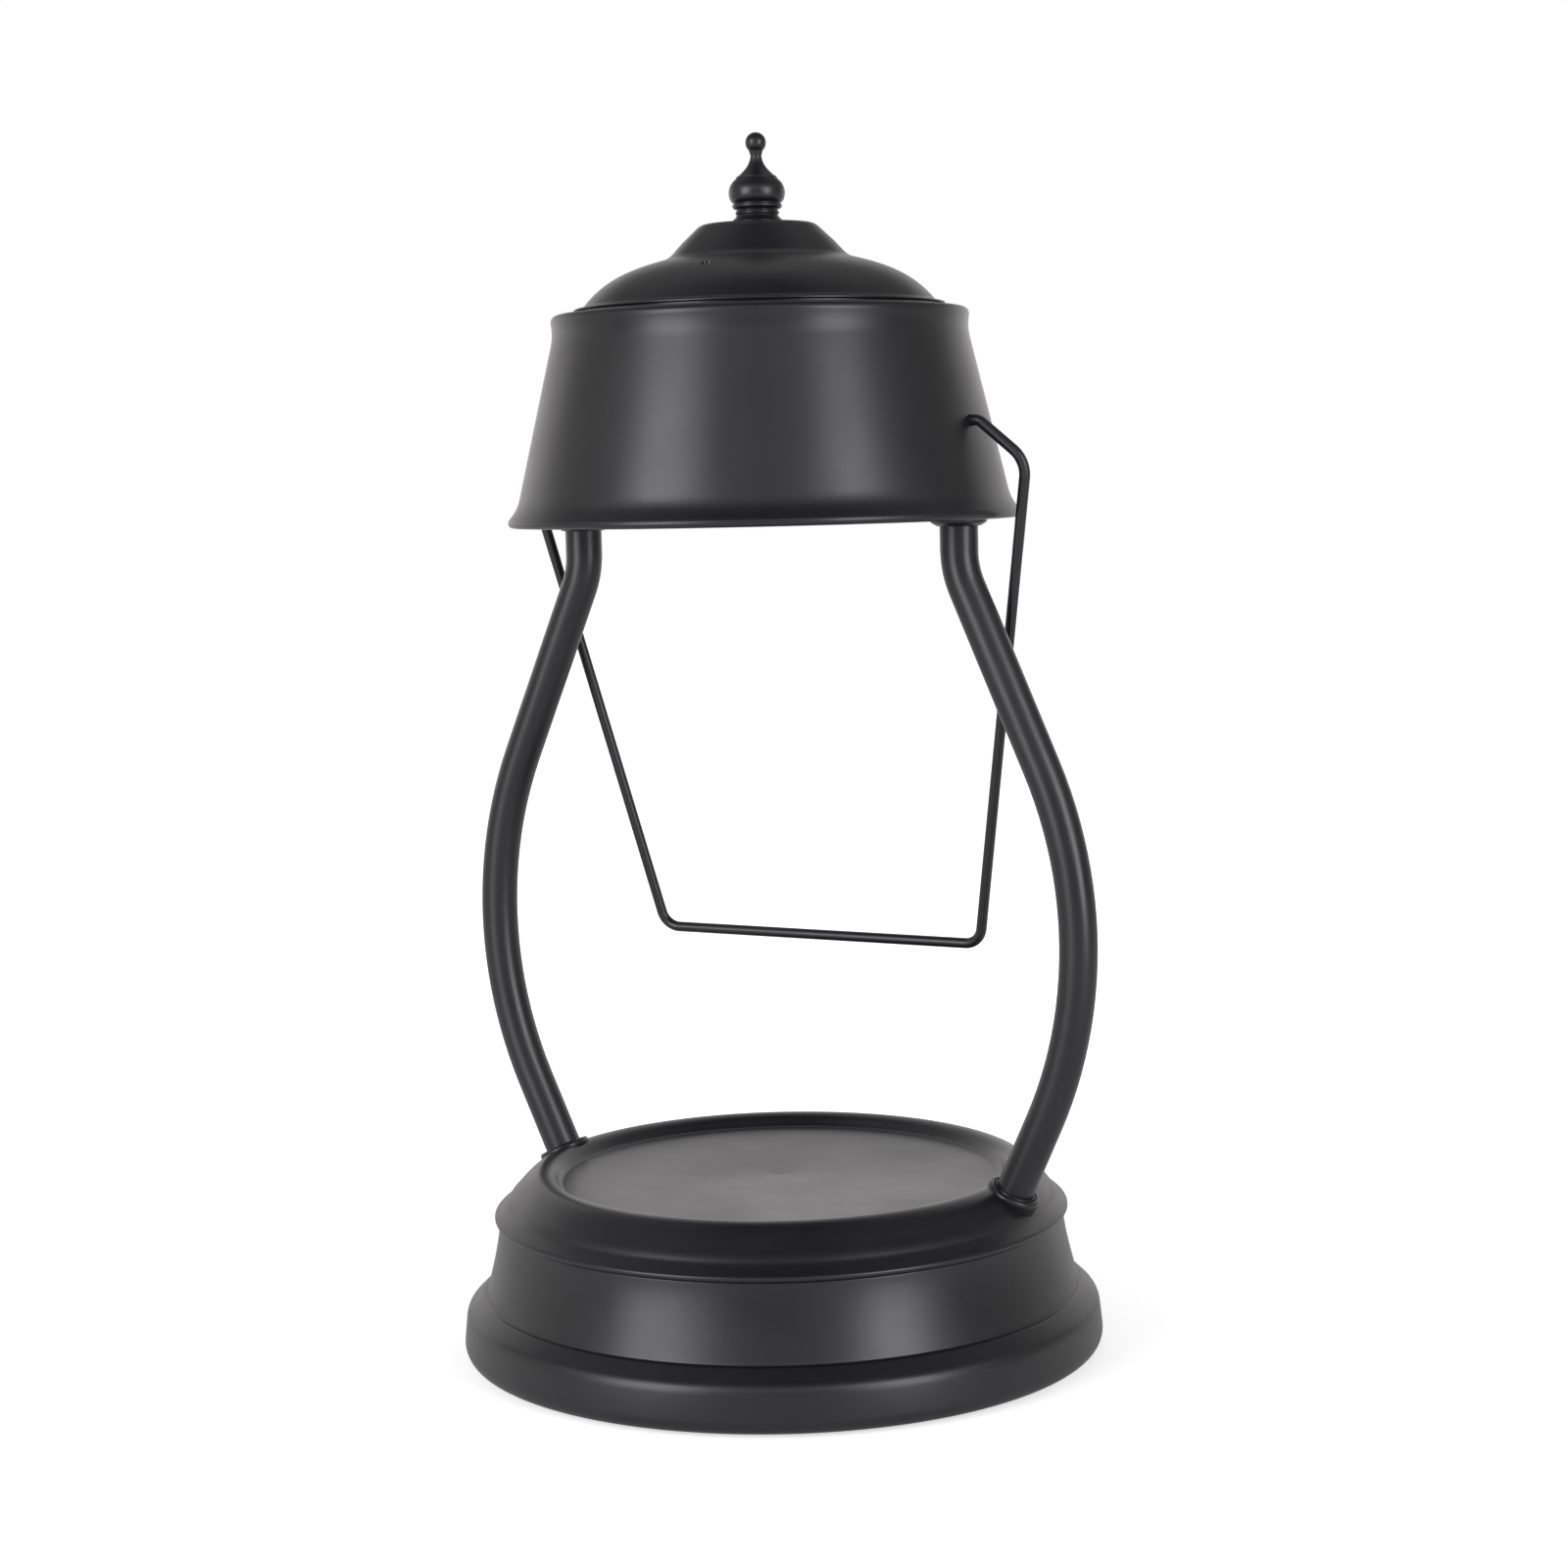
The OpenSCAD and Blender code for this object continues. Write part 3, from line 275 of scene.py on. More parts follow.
def make_reflector():
    """The faceted metal coat of the bulb's reflector."""
    m = Mat("reflector_coat").set(Metallic=1.0)
    facets = m.cells(260)
    m.col(m.ramp(facets, (0.0, (0.88, 0.88, 0.89)), (0.9, (0.74, 0.75, 0.78))))
    m.rough(m.span(m.noise(200, 3), 0.06, 0.16, 0.3, 0.7))
    return m.bump((facets, 0.35, 0.0008)).m


def make_glass(name, frosted):
    """Glass with a slight ripple."""
    m = Mat(name).set(IOR=1.47, Transmission_Weight=1.0)
    ripple = m.noise(240, 2, 0.5)
    m.col(m.ramp(ripple, (0.3, (0.9, 0.93, 0.94)), (0.7, (0.97, 0.98, 0.98))))
    smoothest, roughest = (0.28, 0.4) if frosted else (0.02, 0.07)
    m.rough(m.span(ripple, smoothest, roughest, 0.3, 0.7))
    return m.bump((m.cells(420), 0.12, 0.0004)).m


ZINC = make_zinc()
BRASS = make_brass()
RUBBER = make_rubber()
CERAMIC = make_ceramic()
WHITE_PLASTIC = make_plastic("white_terminal_plastic", (0.7, 0.69, 0.65), (0.8, 0.79, 0.76))
SHEATH = make_plastic("cable_sheath", (0.62, 0.62, 0.58), (0.74, 0.74, 0.7))
REFLECTOR = make_reflector()
LENS = make_glass("lens_glass", False)
CAPSULE = make_glass("frosted_glass", True)

NODE_MATERIAL = {
    ZINC: ["cover_standoffs", "cover_screws", "threaded_nipples", "bevel_washers", "base_nuts",
           "bridge_strap", "top_washers", "top_nuts", "holder_screws", "finial_stud", "bulb_pins"],
    BRASS: ["terminal_screws", "holder_contacts"],
    RUBBER: ["rubber_feet", "cord_grommet"],
    CERAMIC: ["lamp_holder", "bulb_base"],
    WHITE_PLASTIC: ["terminal_block"],
    SHEATH: ["lead_cable"],
    REFLECTOR: ["bulb_reflector"],
    LENS: ["bulb_lens"],
    CAPSULE: ["bulb_capsule"],
    INNER_PAINT: ["bottom_cover"],
    PAINT: ["base_pan", "base_skirt", "left_post", "right_post", "post_collars", "top_collars",
            "shade_body", "shade_cap", "finial", "bail_handle"],
}
for material, names in NODE_MATERIAL.items():
    for name in names:
        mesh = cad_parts[name].data
        mesh.materials.clear()
        mesh.materials.append(material)


# ------------------------------------------------------------------ outlines, in mm
FOOT = 1.0  # height of the rubber feet; the outlines start on top of them
RADIUS = 0  # places in a point of an outline
HEIGHT = 1


def curve(a, b, c, d, n=20):
    """Points of a cubic curve from a to d with handles b and c, without its first point."""
    pts = []
    for i in range(1, n + 1):
        t = i / n
        s = 1 - t
        k = (s * s * s, 3 * s * s * t, 3 * s * t * t, t * t * t)
        pts.append(tuple(sum(w * p[j] for w, p in zip(k, (a, b, c, d))) for j in (0, 1)))
    return pts


def soften(pts, cut, closed=True, steps=5, least_turn=rad(14)):
    """Rounds every corner that turns by at least least_turn, from a distance cut before it."""
    out = []
    n = len(pts)
    for i, p in enumerate(pts):
        if not closed and i in (0, n - 1):
            out.append(p)
            continue
        c = Vector(p)
        u = Vector(pts[i - 1]) - c
        v = Vector(pts[(i + 1) % n]) - c
        if u.length < 1e-9 or v.length < 1e-9 or math.pi - u.angle(v) < least_turn:
            out.append(p)
            continue
        d = min(cut, u.length * 0.45, v.length * 0.45)
        s, e = c + u.normalized() * d, c + v.normalized() * d
        for k in range(steps + 1):
            t = k / steps
            q = s * (1 - t) ** 2 + c * 2 * t * (1 - t) + e * t * t
            out.append((q[0], q[1]))
    return out


def thick(pts, axis, middle, reach, step):
    """Adds points within reach of a middle radius or height, so that a hole can be cut there."""
    lo = middle - reach
    hi = middle + reach
    out = []
    n = len(pts)
    for i, p in enumerate(pts):
        q = pts[(i + 1) % n]
        out.append(p)
        a, b = p[axis], q[axis]
        length = math.dist(p, q)
        if length > step and max(a, b) > lo and min(a, b) < hi:
            level = abs(b - a) < 1e-6
            shares = (0.0, 1.0) if level else ((lo - a) / (b - a), (hi - a) / (b - a))
            t0, t1 = max(0.0, min(shares)), min(1.0, max(shares))
            k = max(1, int(length * (t1 - t0) / step))
            for j in range(k + 1):
                t = t0 + (t1 - t0) * j / k
                if 1e-4 < t < 1 - 1e-4:
                    out.append((p[0] + (q[0] - p[0]) * t, p[1] + (q[1] - p[1]) * t))
    return out


# Base pan: plate, crest, sloping shoulder, knee and rolled rim
skirt_h = 34.2
sheet = 1.0
pan_r = 73.9
crest_r = 61.3
plate_r = 56.0
hem = 1.9  # width of the rim's lower face
pan_skin = (0.45, 1.25)  # from the pan's upper face in and down to its lower face
crest_z = skirt_h + 11.9
plate_z = crest_z - 3.2
roll_z = skirt_h + 0.95
knee_x = pan_r - 3.3
knee_z = skirt_h + 4.3
brow = (crest_r + 3.1, crest_z - 1)
slope_end = (knee_x - 1.6, knee_z + 2.1)
knee = (knee_x, knee_z)
dip = (pan_r - 1.1, roll_z + 1.25)
roll_mid = (pan_r, roll_z)
pan_edge = (pan_r - 0.9, skirt_h)
plate_wall = curve((plate_r, plate_z), (plate_r + 2, plate_z), (crest_r - 3.6, crest_z), (crest_r, crest_z))
pan_outside = (curve((crest_r, crest_z), (crest_r + 1.3, crest_z), (crest_r + 2.2, crest_z - 0.4), brow, 12)
               + curve(brow, (crest_r + 4.7, crest_z - 2.1), (knee_x - 2.9, knee_z + 3.4), slope_end, 12)
               + curve(slope_end, (knee_x - 0.8, knee_z + 1.3), (knee_x - 0.4, knee_z + 0.7), knee, 8)
               + curve(knee, (knee_x + 0.4, knee_z - 0.7), (knee_x + 1.2, roll_z + 2.05), dip, 10)
               + curve(dip, (pan_r - 0.4, roll_z + 0.75), (pan_r, roll_z + 0.5), roll_mid, 10)
               + curve(roll_mid, (pan_r, roll_z - 0.5), (pan_r - 0.3, skirt_h), pan_edge, 10))
pan_top = [(plate_r, plate_z)] + plate_wall + pan_outside
pan_below = ([(pan_edge[0] - hem, skirt_h), (pan_edge[0] - hem, skirt_h + 1.2)]
             + [(x - pan_skin[0], z - pan_skin[1]) for x, z in reversed(pan_outside) if z > roll_z + 1.6]
             + [(crest_r - 2, crest_z - 2.2), (plate_r + 1.2, plate_z - sheet)])
pan_outline = [(0, plate_z)] + pan_top + pan_below + [(0, plate_z - sheet)]


def pan_height(r):
    """Height of the pan's upper face at a radius."""
    for (a, za), (b, zb) in zip(pan_top, pan_top[1:]):
        if a <= r <= b:
            return za + (zb - za) * (r - a) / max(b - a, 1e-9)
    return pan_top[-1][1] if r > pan_top[-1][0] else plate_z


# Base skirt: foot band, shoulder, short cone, cove and neck
base_r = 82.5
neck_r = 72.7
band_h = 9.2
cove_h = 15.4
cover_t = 1.6  # the bottom cover, let into the skirt's foot
seat_r = base_r - 2.8
lip_r = seat_r - 3.2
skin = sheet * 1.15  # level distance through the leaning wall
foot_edge = (base_r - 1.9, 0)
band_top = (base_r - 0.6, band_h)
shoulder = (base_r - 2.05, band_h + 3.15)
cone_low = (base_r - 4.6, band_h + 5.55)
neck_wall = [(neck_r + 3.75, cove_h), (neck_r + 2.65, cove_h + 4.1), (neck_r + 0.25, skirt_h - 6),
             (neck_r, skirt_h - 0.3)]
skirt_outer = (curve(foot_edge, (base_r - 0.8, 0.3), (base_r, 1.6), (base_r, 3.4))
               + [band_top]
               + curve(band_top, (base_r - 0.75, band_h + 1.5), (base_r - 1.2, band_h + 2.4), shoulder, 14)
               + [cone_low]
               + curve(cone_low, (base_r - 5.2, band_h + 6.1), (neck_r + 3.9, cove_h - 0.55),
                       neck_wall[0], 12)
               + curve(*neck_wall)
               + [(neck_r - 0.3, skirt_h)])
skirt_outline = ([(seat_r, 0), foot_edge] + skirt_outer
                 + [(neck_r - 2, skirt_h), (neck_r - 2, skirt_h - sheet), (neck_r - skin, skirt_h - sheet)]
                 + [(x - skin, z) for x, z in reversed(skirt_outer) if cover_t + sheet < z < skirt_h - sheet]
                 + [(base_r - skin, cover_t + sheet), (lip_r, cover_t + sheet), (lip_r, cover_t),
                    (seat_r, cover_t)])

# Posts: from the foot up a long bow, back through a bend and straight up under the shade
post_d = 9.5
mesh_gap = 0.04  # a round tube here stays inside the CAD's many-sided one
foot_x = 66.1
foot_z = skirt_h + 10.4
post_top_x = 54.0
bow_x = 84.1
bow_r = 108.0
low_lean = rad(24.6)  # from upright, at the foot
high_lean = rad(23.6)  # from upright, where the bow ends
bend_r = 23.0
neck_l = 8.1
bow_cx = bow_x - bow_r
bow_cz = foot_z + ((bow_cx - foot_x) * math.cos(low_lean) + bow_r) / math.sin(low_lean)
bow_tx = bow_cx + bow_r * math.cos(high_lean)
bow_tz = bow_cz + bow_r * math.sin(high_lean)
bend_z = (bow_tz + (bow_tx - post_top_x - bend_r * (1 - math.cos(high_lean))) / math.tan(high_lean)
          + bend_r * math.sin(high_lean))
post_top_z = bend_z + neck_l
bow_turn = bow_r * math.tan((high_lean + low_lean) / 2)
# Each corner of a rod's path is (x, z, bend radius).
post_path = [(foot_x, foot_z, 0),
             (bow_tx + bow_turn * math.sin(high_lean), bow_tz - bow_turn * math.cos(high_lean), bow_r),
             (post_top_x, bend_z - bend_r * math.tan(high_lean / 2), bend_r),
             (post_top_x, post_top_z, 0)]

# Foot collars, measured from the foot's centre, with a groove round the tube
tube_r = post_d / 2
collar_d = 13.8
collar_h = 0.4
collar_sink = 0.25  # how far a collar's edge goes below the pan's face, so that no gap shows
edge_r = collar_d / 2
collar_line = ([(tube_r + 0.05, collar_h - 1.2), (tube_r + 0.05, collar_h + 0.1),
                (tube_r + 0.4, collar_h + 0.1), (tube_r + 0.6, collar_h - 0.6),
                (tube_r + 0.9, collar_h - 0.2), (edge_r - 0.9, collar_h)]
               + curve((edge_r - 0.9, collar_h), (edge_r - 0.2, collar_h),
                       (edge_r + 0.1, collar_h - 0.7), (edge_r - 0.2, collar_h - 1.6), 10)
               + [(edge_r - 0.5, -4)])

# Head collars, at the top of the posts
ring_r = edge_r + 0.1
ring_h = 2.2
ring_line = [(tube_r + 0.05, 0), (tube_r + 0.6, 0), (ring_r - 0.25, 0.8), (ring_r, 1.2),
             (ring_r, ring_h), (tube_r + 0.05, ring_h)]

# Shade: flared rim, cone, waist, bead and inner ledge
rim_z = post_top_z - 0.6
ledge_z = rim_z + 52.6
pivot_z = rim_z + 24
pivot_wall_x = 57.3  # middle of the shade's wall at the bail's pivots
rim_r = 64.7
cone_low_r = 61.2
cone_high_r = 52.75
cone_high_z = ledge_z - 8
bead_r = 52.5
ledge_r = 40
wall = 1.05  # level distance through the shade's wall
rim_top = (rim_r, rim_z + 1.2)
flare = (rim_r - 0.8, rim_z + 2.7)
waist = (cone_high_r, cone_high_z)
bead = (bead_r, ledge_z - 2)
shade_outer = (curve((rim_r - 1.3, rim_z), (rim_r - 0.5, rim_z), (rim_r, rim_z + 0.5), rim_top, 10)
               + curve(rim_top, (rim_r, rim_z + 1.7), (rim_r - 0.3, rim_z + 2.1), flare, 8)
               + curve(flare, (rim_r - 2.2, rim_z + 4.4), (cone_low_r + 0.6, rim_z + 6),
                       (cone_low_r, rim_z + 9.1))
               + [waist]
               + curve(waist, (cone_high_r - 0.5, cone_high_z + 2.1), (bead_r - 0.35, ledge_z - 4.4), bead)
               + curve(bead, (bead_r + 0.1, ledge_z - 0.9), (bead_r - 0.6, ledge_z - 0.1),
                       (bead_r - 1.7, ledge_z), 10))
shade_outline = ([(rim_r - 1.3, rim_z)] + shade_outer
                 + [(ledge_r, ledge_z), (ledge_r, ledge_z - 1), (bead_r - 0.9 - wall, ledge_z - 1)]
                 + [(x - wall, z) for x, z in reversed(shade_outer) if rim_z + 2 < z < ledge_z - 1]
                 + [(rim_r - 1.9, rim_z + 1.6), (rim_r - 1.9, rim_z + 0.6)])

# Cap: brim on the ledge, dome, cove, small cone and flat top
dome_r = 44.0
cove_r = 24.3
flat_r = 13.2
brim_r = 46.6
brim_z = ledge_z + 0.9
dome_top_z = ledge_z + 13
cap_top_z = ledge_z + 21.8
cap_sheet = 0.9
cap_skin = 0.68  # from the cap's outside in and down to its inside
stud_hole_r = 3.2
brim_top = (brim_r, brim_z + 0.4)
cap_low = (dome_r, ledge_z + 2.2)
cove = (cove_r, dome_top_z)
cone_foot = (cove_r - 2.8, dome_top_z + 1.7)
cone_top = (flat_r + 2.4, cap_top_z - 1.2)
cap_outer = ([(brim_r - 1.4, ledge_z), (brim_r - 1.4, brim_z), (brim_r, brim_z), brim_top]
             + curve(brim_top, (brim_r - 0.5, brim_z + 0.7), (dome_r + 0.7, ledge_z + 1.4), cap_low, 12)
             + curve(cap_low, (dome_r - 5.2, dome_top_z - 4.4), (cove_r + 7.9, dome_top_z - 2), cove, 40)
             + curve(cove, (cove_r - 1.1, dome_top_z + 0.3), (cove_r - 2, dome_top_z + 0.8), cone_foot, 10)
             + [(cove_r - 5.1, cap_top_z - 4.6), cone_top]
             + curve(cone_top, (flat_r + 1.6, cap_top_z - 0.4), (flat_r + 0.8, cap_top_z),
                     (flat_r, cap_top_z), 10))
cap_inner = [(x - cap_skin, z - cap_skin) for x, z in cap_outer if brim_z + 0.9 < z < cap_top_z - 0.1]
cap_outline = (cap_outer
               + [(stud_hole_r, cap_top_z), (stud_hole_r, cap_top_z - cap_sheet),
                  (flat_r - 0.3, cap_top_z - cap_sheet)]
               + cap_inner[::-1] + [(brim_r - 2.3, ledge_z)])
vent_r = 31.8
vent_d = 2.8
vent_turn = 5.5  # degrees

# Finial: foot, two rings, bulb, step, neck and ball, with heights above the cap
fin_r = 7.15
fin_neck = 16.8
ball_r = 2.6
ball_z = fin_neck + 3.25
ball_from = -51  # angle where the ball leaves the neck
ball_steps = 30
foot_waist = (fin_r - 2, 2.3)
low_ring = (fin_r - 1.9, 3.6)
bulb_low = (fin_r - 1.2, 5.1)
step_in = (fin_r - 2.6, 11.9)
ball_angles = [rad(ball_from + (90 - ball_from) * i / ball_steps) for i in range(1, ball_steps + 1)]
fin_profile = ([(0, 0), (fin_r - 0.5, 0), (fin_r - 0.5, 0.7)]
               + curve((fin_r - 0.5, 0.7), (fin_r - 1.2, 1.1), (fin_r - 1.8, 1.7), foot_waist, 12)
               + curve(foot_waist, (fin_r - 1.5, 2.4), (fin_r - 1.5, 3.1), (fin_r - 2, 3.2), 10)
               + [low_ring]
               + curve(low_ring, (fin_r - 0.7, 3.7), (fin_r - 0.7, 4.8), (fin_r - 1.2, 4.9), 10)
               + [bulb_low]
               + curve(bulb_low, (fin_r, 5.9), (fin_r + 0.5, 8.4), (fin_r - 1, 10.3), 26)
               + [(fin_r - 2, 11.3), (fin_r - 2.1, 11.7), step_in]
               + curve(step_in, (fin_r - 4.1, 13.3), (1.7, 14.4), (1.4, fin_neck), 20)
               + [(1.65, fin_neck + 0.9)]
               + [(max(0, ball_r * math.cos(a)), ball_z + ball_r * math.sin(a)) for a in ball_angles])
finial_outline = [(x, cap_top_z + z) for x, z in fin_profile]

# Bail, measured from its pivots as it hangs straight: hook, pivot, shoulder and rail
bail_lean = 10.4  # degrees to the rear
wire_d = 2.7
wire_end = 0.4
bail_half = [(51.5, -6, 0), (51.5, 0, 2.2), (59.9, 0, 2.5), (71.4, -10.3, 7.5), (46.6, -135.4, 5)]
bail_path = bail_half + [(-x, z, r) for x, z, r in reversed(bail_half)]


# ------------------------------------------------------------------ mesh builders
def spread(count, fine=(), width=4.0, step=0.25):
    """Angles round a lathe, in degrees, with extra ones near the angles in fine."""
    def apart(a, f):
        return abs((a - f + 180) % 360 - 180)

    plain = [360 * i / count for i in range(count)]
    out = [a for a in plain if all(apart(a, f) > width for f in fine)]
    for f in fine:
        k = int(width / step)
        out += [(f + step * i) % 360 for i in range(-k, k + 1)]
    return sorted(set(round(a, 5) for a in out))


def lift(outline):
    """Puts an outline on top of the rubber feet."""
    return [(x, z + FOOT) for x, z in outline]


def lathe_bm(outline, angles, closed=True):
    """Turns an outline in mm about Z into a bmesh in metres."""
    bm = bmesh.new()
    n = len(angles)
    rings = []
    for r, z in outline:
        if r < 1e-6:
            rings.append([bm.verts.new((0, 0, z * MM))])
        else:
            rings.append([bm.verts.new((r * MM * math.cos(rad(a)), r * MM * math.sin(rad(a)), z * MM))
                          for a in angles])
    pairs = list(zip(rings, rings[1:]))
    if closed and not (len(rings[0]) == 1 and len(rings[-1]) == 1):
        pairs.append((rings[-1], rings[0]))
    for a, b in pairs:
        if len(a) == 1 and len(b) == 1:
            continue
        for i in range(n):
            j = (i + 1) % n
            if len(a) == 1:
                bm.faces.new((a[0], b[j], b[i]))
            elif len(b) == 1:
                bm.faces.new((a[i], a[j], b[0]))
            else:
                bm.faces.new((a[i], a[j], b[j], b[i]))
    return bm


def punch(bm, centre, direction, radius):
    """Cuts a round hole through a thin wall and lines it. centre and radius in mm."""
    reach = 0.012  # to each side of the centre along the hole, in metres
    rim_reach = 2.2  # open edges within this many radii are the hole's own
    c = Vector(centre) * MM
    d = Vector(direction).normalized()
    r = radius * MM

    def off(p):
        v = p - c
        return v - d * v.dot(d)

    def close(p):
        return abs((p - c).dot(d)) < reach

    def inside(face):
        return sum(off(v.co).length < r for v in face.verts) * 2 >= len(face.verts)

    def at_rim(edge):
        p = edge.verts[0].co
        return edge.is_boundary and close(p) and off(p).length < rim_reach * r

    doomed = [f for f in bm.faces if close(f.calc_center_median()) and inside(f)]
    bmesh.ops.delete(bm, geom=doomed, context="FACES")
    edges = [e for e in bm.edges if at_rim(e)]
    for v in {v for e in edges for v in e.verts}:
        o = off(v.co)
        v.co += o.normalized() * r - o
    if edges:
        bmesh.ops.bridge_loops(bm, edges=edges)


def rod_line(path, degrees=2.0, straight=6.0):
    """Centre line of a bent rod in its own plane, as pairs of a point and a direction.

    degrees and straight are about how far apart its points are, in bends and on straight runs in mm.
    """
    pts = [Vector((p[0], p[1])) for p in path]
    runs = [(b - a).normalized() for a, b in zip(pts, pts[1:])]
    cut = [0.0] * len(path)
    for i in range(1, len(path) - 1):
        cut[i] = path[i][2] * math.tan(runs[i - 1].angle(runs[i]) / 2)
    out = []
    for i, u in enumerate(runs):
        a, b = pts[i] + u * cut[i], pts[i + 1] - u * cut[i + 1]
        k = max(1, int((b - a).length / straight))
        out += [(a + (b - a) * j / k, u) for j in range(k + 1)]
        if i < len(runs) - 1:
            v = runs[i + 1]
            turn = u.angle(v)
            side = 1 if u.x * v.y - u.y * v.x > 0 else -1
            normal = Vector((-u.y, u.x)) * side
            centre = b + normal * path[i + 1][2]
            k = max(2, int(math.degrees(turn) / degrees))
            for j in range(1, k):
                w = Matrix.Rotation(side * turn * j / k, 2)
                out.append((centre + w @ (b - centre), w @ u))
    return out


def rod_bm(path, d, sides, end=0.0):
    """A round rod along a path in the XZ plane, in metres. end is the depth in mm of a dish in its ends."""
    line = rod_line(path)
    rings = []
    bm = bmesh.new()

    def ring(p, u, r):
        rings.append([bm.verts.new(((p.x + r * math.sin(t) * -u.y) * MM, r * math.cos(t) * MM,
                                    (p.y + r * math.sin(t) * u.x) * MM))
                      for t in (2 * math.pi * k / sides for k in range(sides))])

    def dish(p, u, inward, steps):
        for k in steps:
            s = 1 - math.sin(math.pi / 2 * k / 4)
            ring(p + u * inward * end * s, u, d / 2 - end * (1 - math.sqrt(1 - s * s)))

    if end:
        dish(*line[0], 1, range(4))
        line[0] = (line[0][0] + line[0][1] * end, line[0][1])
    last, last_run = line[-1]
    if end:
        line[-1] = (last - last_run * end, last_run)
    for p, u in line:
        ring(p, u, d / 2)
    if end:
        dish(last, last_run, -1, range(3, -1, -1))
    for a, b in zip(rings, rings[1:]):
        for i in range(sides):
            j = (i + 1) % sides
            bm.faces.new((a[i], a[j], b[j], b[i]))
    bm.faces.new(rings[0][::-1])
    bm.faces.new(rings[-1])
    return bm


def move(bm, matrix):
    bmesh.ops.transform(bm, matrix=matrix, verts=bm.verts)


def settle(name, bm, node, body="frame", material=PAINT):
    """Makes a piece of the visual model that takes the place of a CAD node."""
    sharp_corner = rad(32)
    bmesh.ops.recalc_face_normals(bm, faces=bm.faces)
    mesh = bpy.data.meshes.new(name)
    bm.to_mesh(mesh)
    bm.free()
    mesh.materials.append(material)
    mesh.polygons.foreach_set("use_smooth", [True] * len(mesh.polygons))
    mesh.set_sharp_from_angle(angle=sharp_corner)
    obj = add_to_scene(name, mesh)
    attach(obj, body)
    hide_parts(node)


MIRROR = Matrix.Diagonal((-1, 1, 1, 1))  # from the lamp's right to its left


# ------------------------------------------------------------------ pieces
def make_pan():
    settle("pan_pressing", lathe_bm(lift(soften(pan_outline, 0.3)), spread(288)), "base_pan")


def make_skirt():
    """The skirt, with the cord inlet's hole square to the neck's wall at the rear."""
    inlet_d = 8.1
    inlet_r, inlet_h = curve(*neck_wall, 2)[0]  # the middle of the neck's wall
    low, low_handle, high_handle, high = neck_wall
    inlet_lean = math.atan((low[0] + low_handle[0] - high_handle[0] - high[0])
                           / (high[1] + high_handle[1] - low_handle[1] - low[1]))
    skirt_pts = thick(soften(skirt_outline, 0.3), HEIGHT, inlet_h, 6, 0.5)
    bm = lathe_bm(lift(skirt_pts), spread(288, (90,), 5, 0.4))
    punch(bm, (0, inlet_r, inlet_h + FOOT), (0, math.cos(inlet_lean), math.sin(inlet_lean)), inlet_d / 2)
    settle("skirt_pressing", bm, "base_skirt")


def make_post(name, side):
    bm = rod_bm(post_path, post_d - mesh_gap, 64)
    move(bm, Matrix.Translation((0, 0, FOOT * MM)))
    if side < 0:
        move(bm, MIRROR)
    settle(name.replace("post", "bent_tube"), bm, name)


def make_foot_collar(name, side):
    """A collar round the foot of a post, its lower edge let down onto the pan."""
    lean = Matrix.Rotation(low_lean, 4, "Y")
    foot_at = Matrix.Translation(Vector((foot_x, 0, foot_z + FOOT)) * MM) @ lean
    along_post = lean @ Vector((0, 0, 1))
    buried = -2 * MM  # points of the collar's outline below this always go down to the pan

    def above_pan(p):
        return p.z / MM > pan_height(math.hypot(p.x, p.y) / MM) + FOOT - collar_sink

    def pan_at(x, y):
        """Where the pan meets a line along the post, found by halving."""
        lo, hi = -12.0, 3.0
        for _ in range(24):
            mid = (lo + hi) / 2
            if above_pan(foot_at @ Vector((x, y, 0)) + along_post * mid * MM):
                hi = mid
            else:
                lo = mid
        return lo * MM

    bm = lathe_bm(soften(collar_line, 0.12, closed=False), spread(96), closed=False)
    for v in bm.verts:
        if v.co.z < buried:
            v.co.z = pan_at(v.co.x, v.co.y)
        elif not above_pan(foot_at @ v.co):
            v.co.z = max(v.co.z, pan_at(v.co.x, v.co.y))
    move(bm, foot_at)
    if side < 0:
        move(bm, MIRROR)
    settle(name, bm, "post_collars")


def make_head_collar(name, side):
    bm = lathe_bm(soften(ring_line, 0.3), spread(96))
    move(bm, Matrix.Translation(Vector((side * post_top_x, 0, post_top_z - ring_h + FOOT)) * MM))
    settle(name, bm, "top_collars")


def make_shade():
    pts = thick(shade_outline, HEIGHT, pivot_z, 3, 0.2)
    bm = lathe_bm(lift(soften(pts, 0.25)), spread(288, (0, 180), 3.2, 0.2))
    for side in (1, -1):
        punch(bm, (side * pivot_wall_x, 0, pivot_z + FOOT), (1, 0, 0), wire_d / 2 + 0.1)
    settle("shade_spinning", bm, "shade_body")


def make_cap():
    """The cap, with one vent towards the front and one opposite."""
    pts = thick(cap_outline, RADIUS, vent_r, 2.6, 0.2)
    bm = lathe_bm(lift(soften(pts, 0.2)), spread(288, (90 + vent_turn, 270 + vent_turn), 6, 0.4))
    for side in (1, -1):
        vent = Matrix.Rotation(rad(vent_turn), 3, "Z") @ Vector((0, side * vent_r, dome_top_z - 3 + FOOT))
        punch(bm, vent, (0, 0, 1), vent_d / 2)
    settle("cap_spinning", bm, "shade_cap")


def make_finial():
    settle("turned_finial", lathe_bm(lift(soften(finial_outline, 0.15)), spread(160)), "finial")


def make_bail():
    """The bail as in the photo, leaning to the rear."""
    bm = rod_bm(bail_path, wire_d, 32, end=wire_end)
    move(bm, Matrix.Translation((0, 0, (pivot_z + FOOT) * MM)) @ Matrix.Rotation(rad(bail_lean), 4, "X"))
    settle("bail_wire", bm, "bail_handle", "bail", WIRE_PAINT)


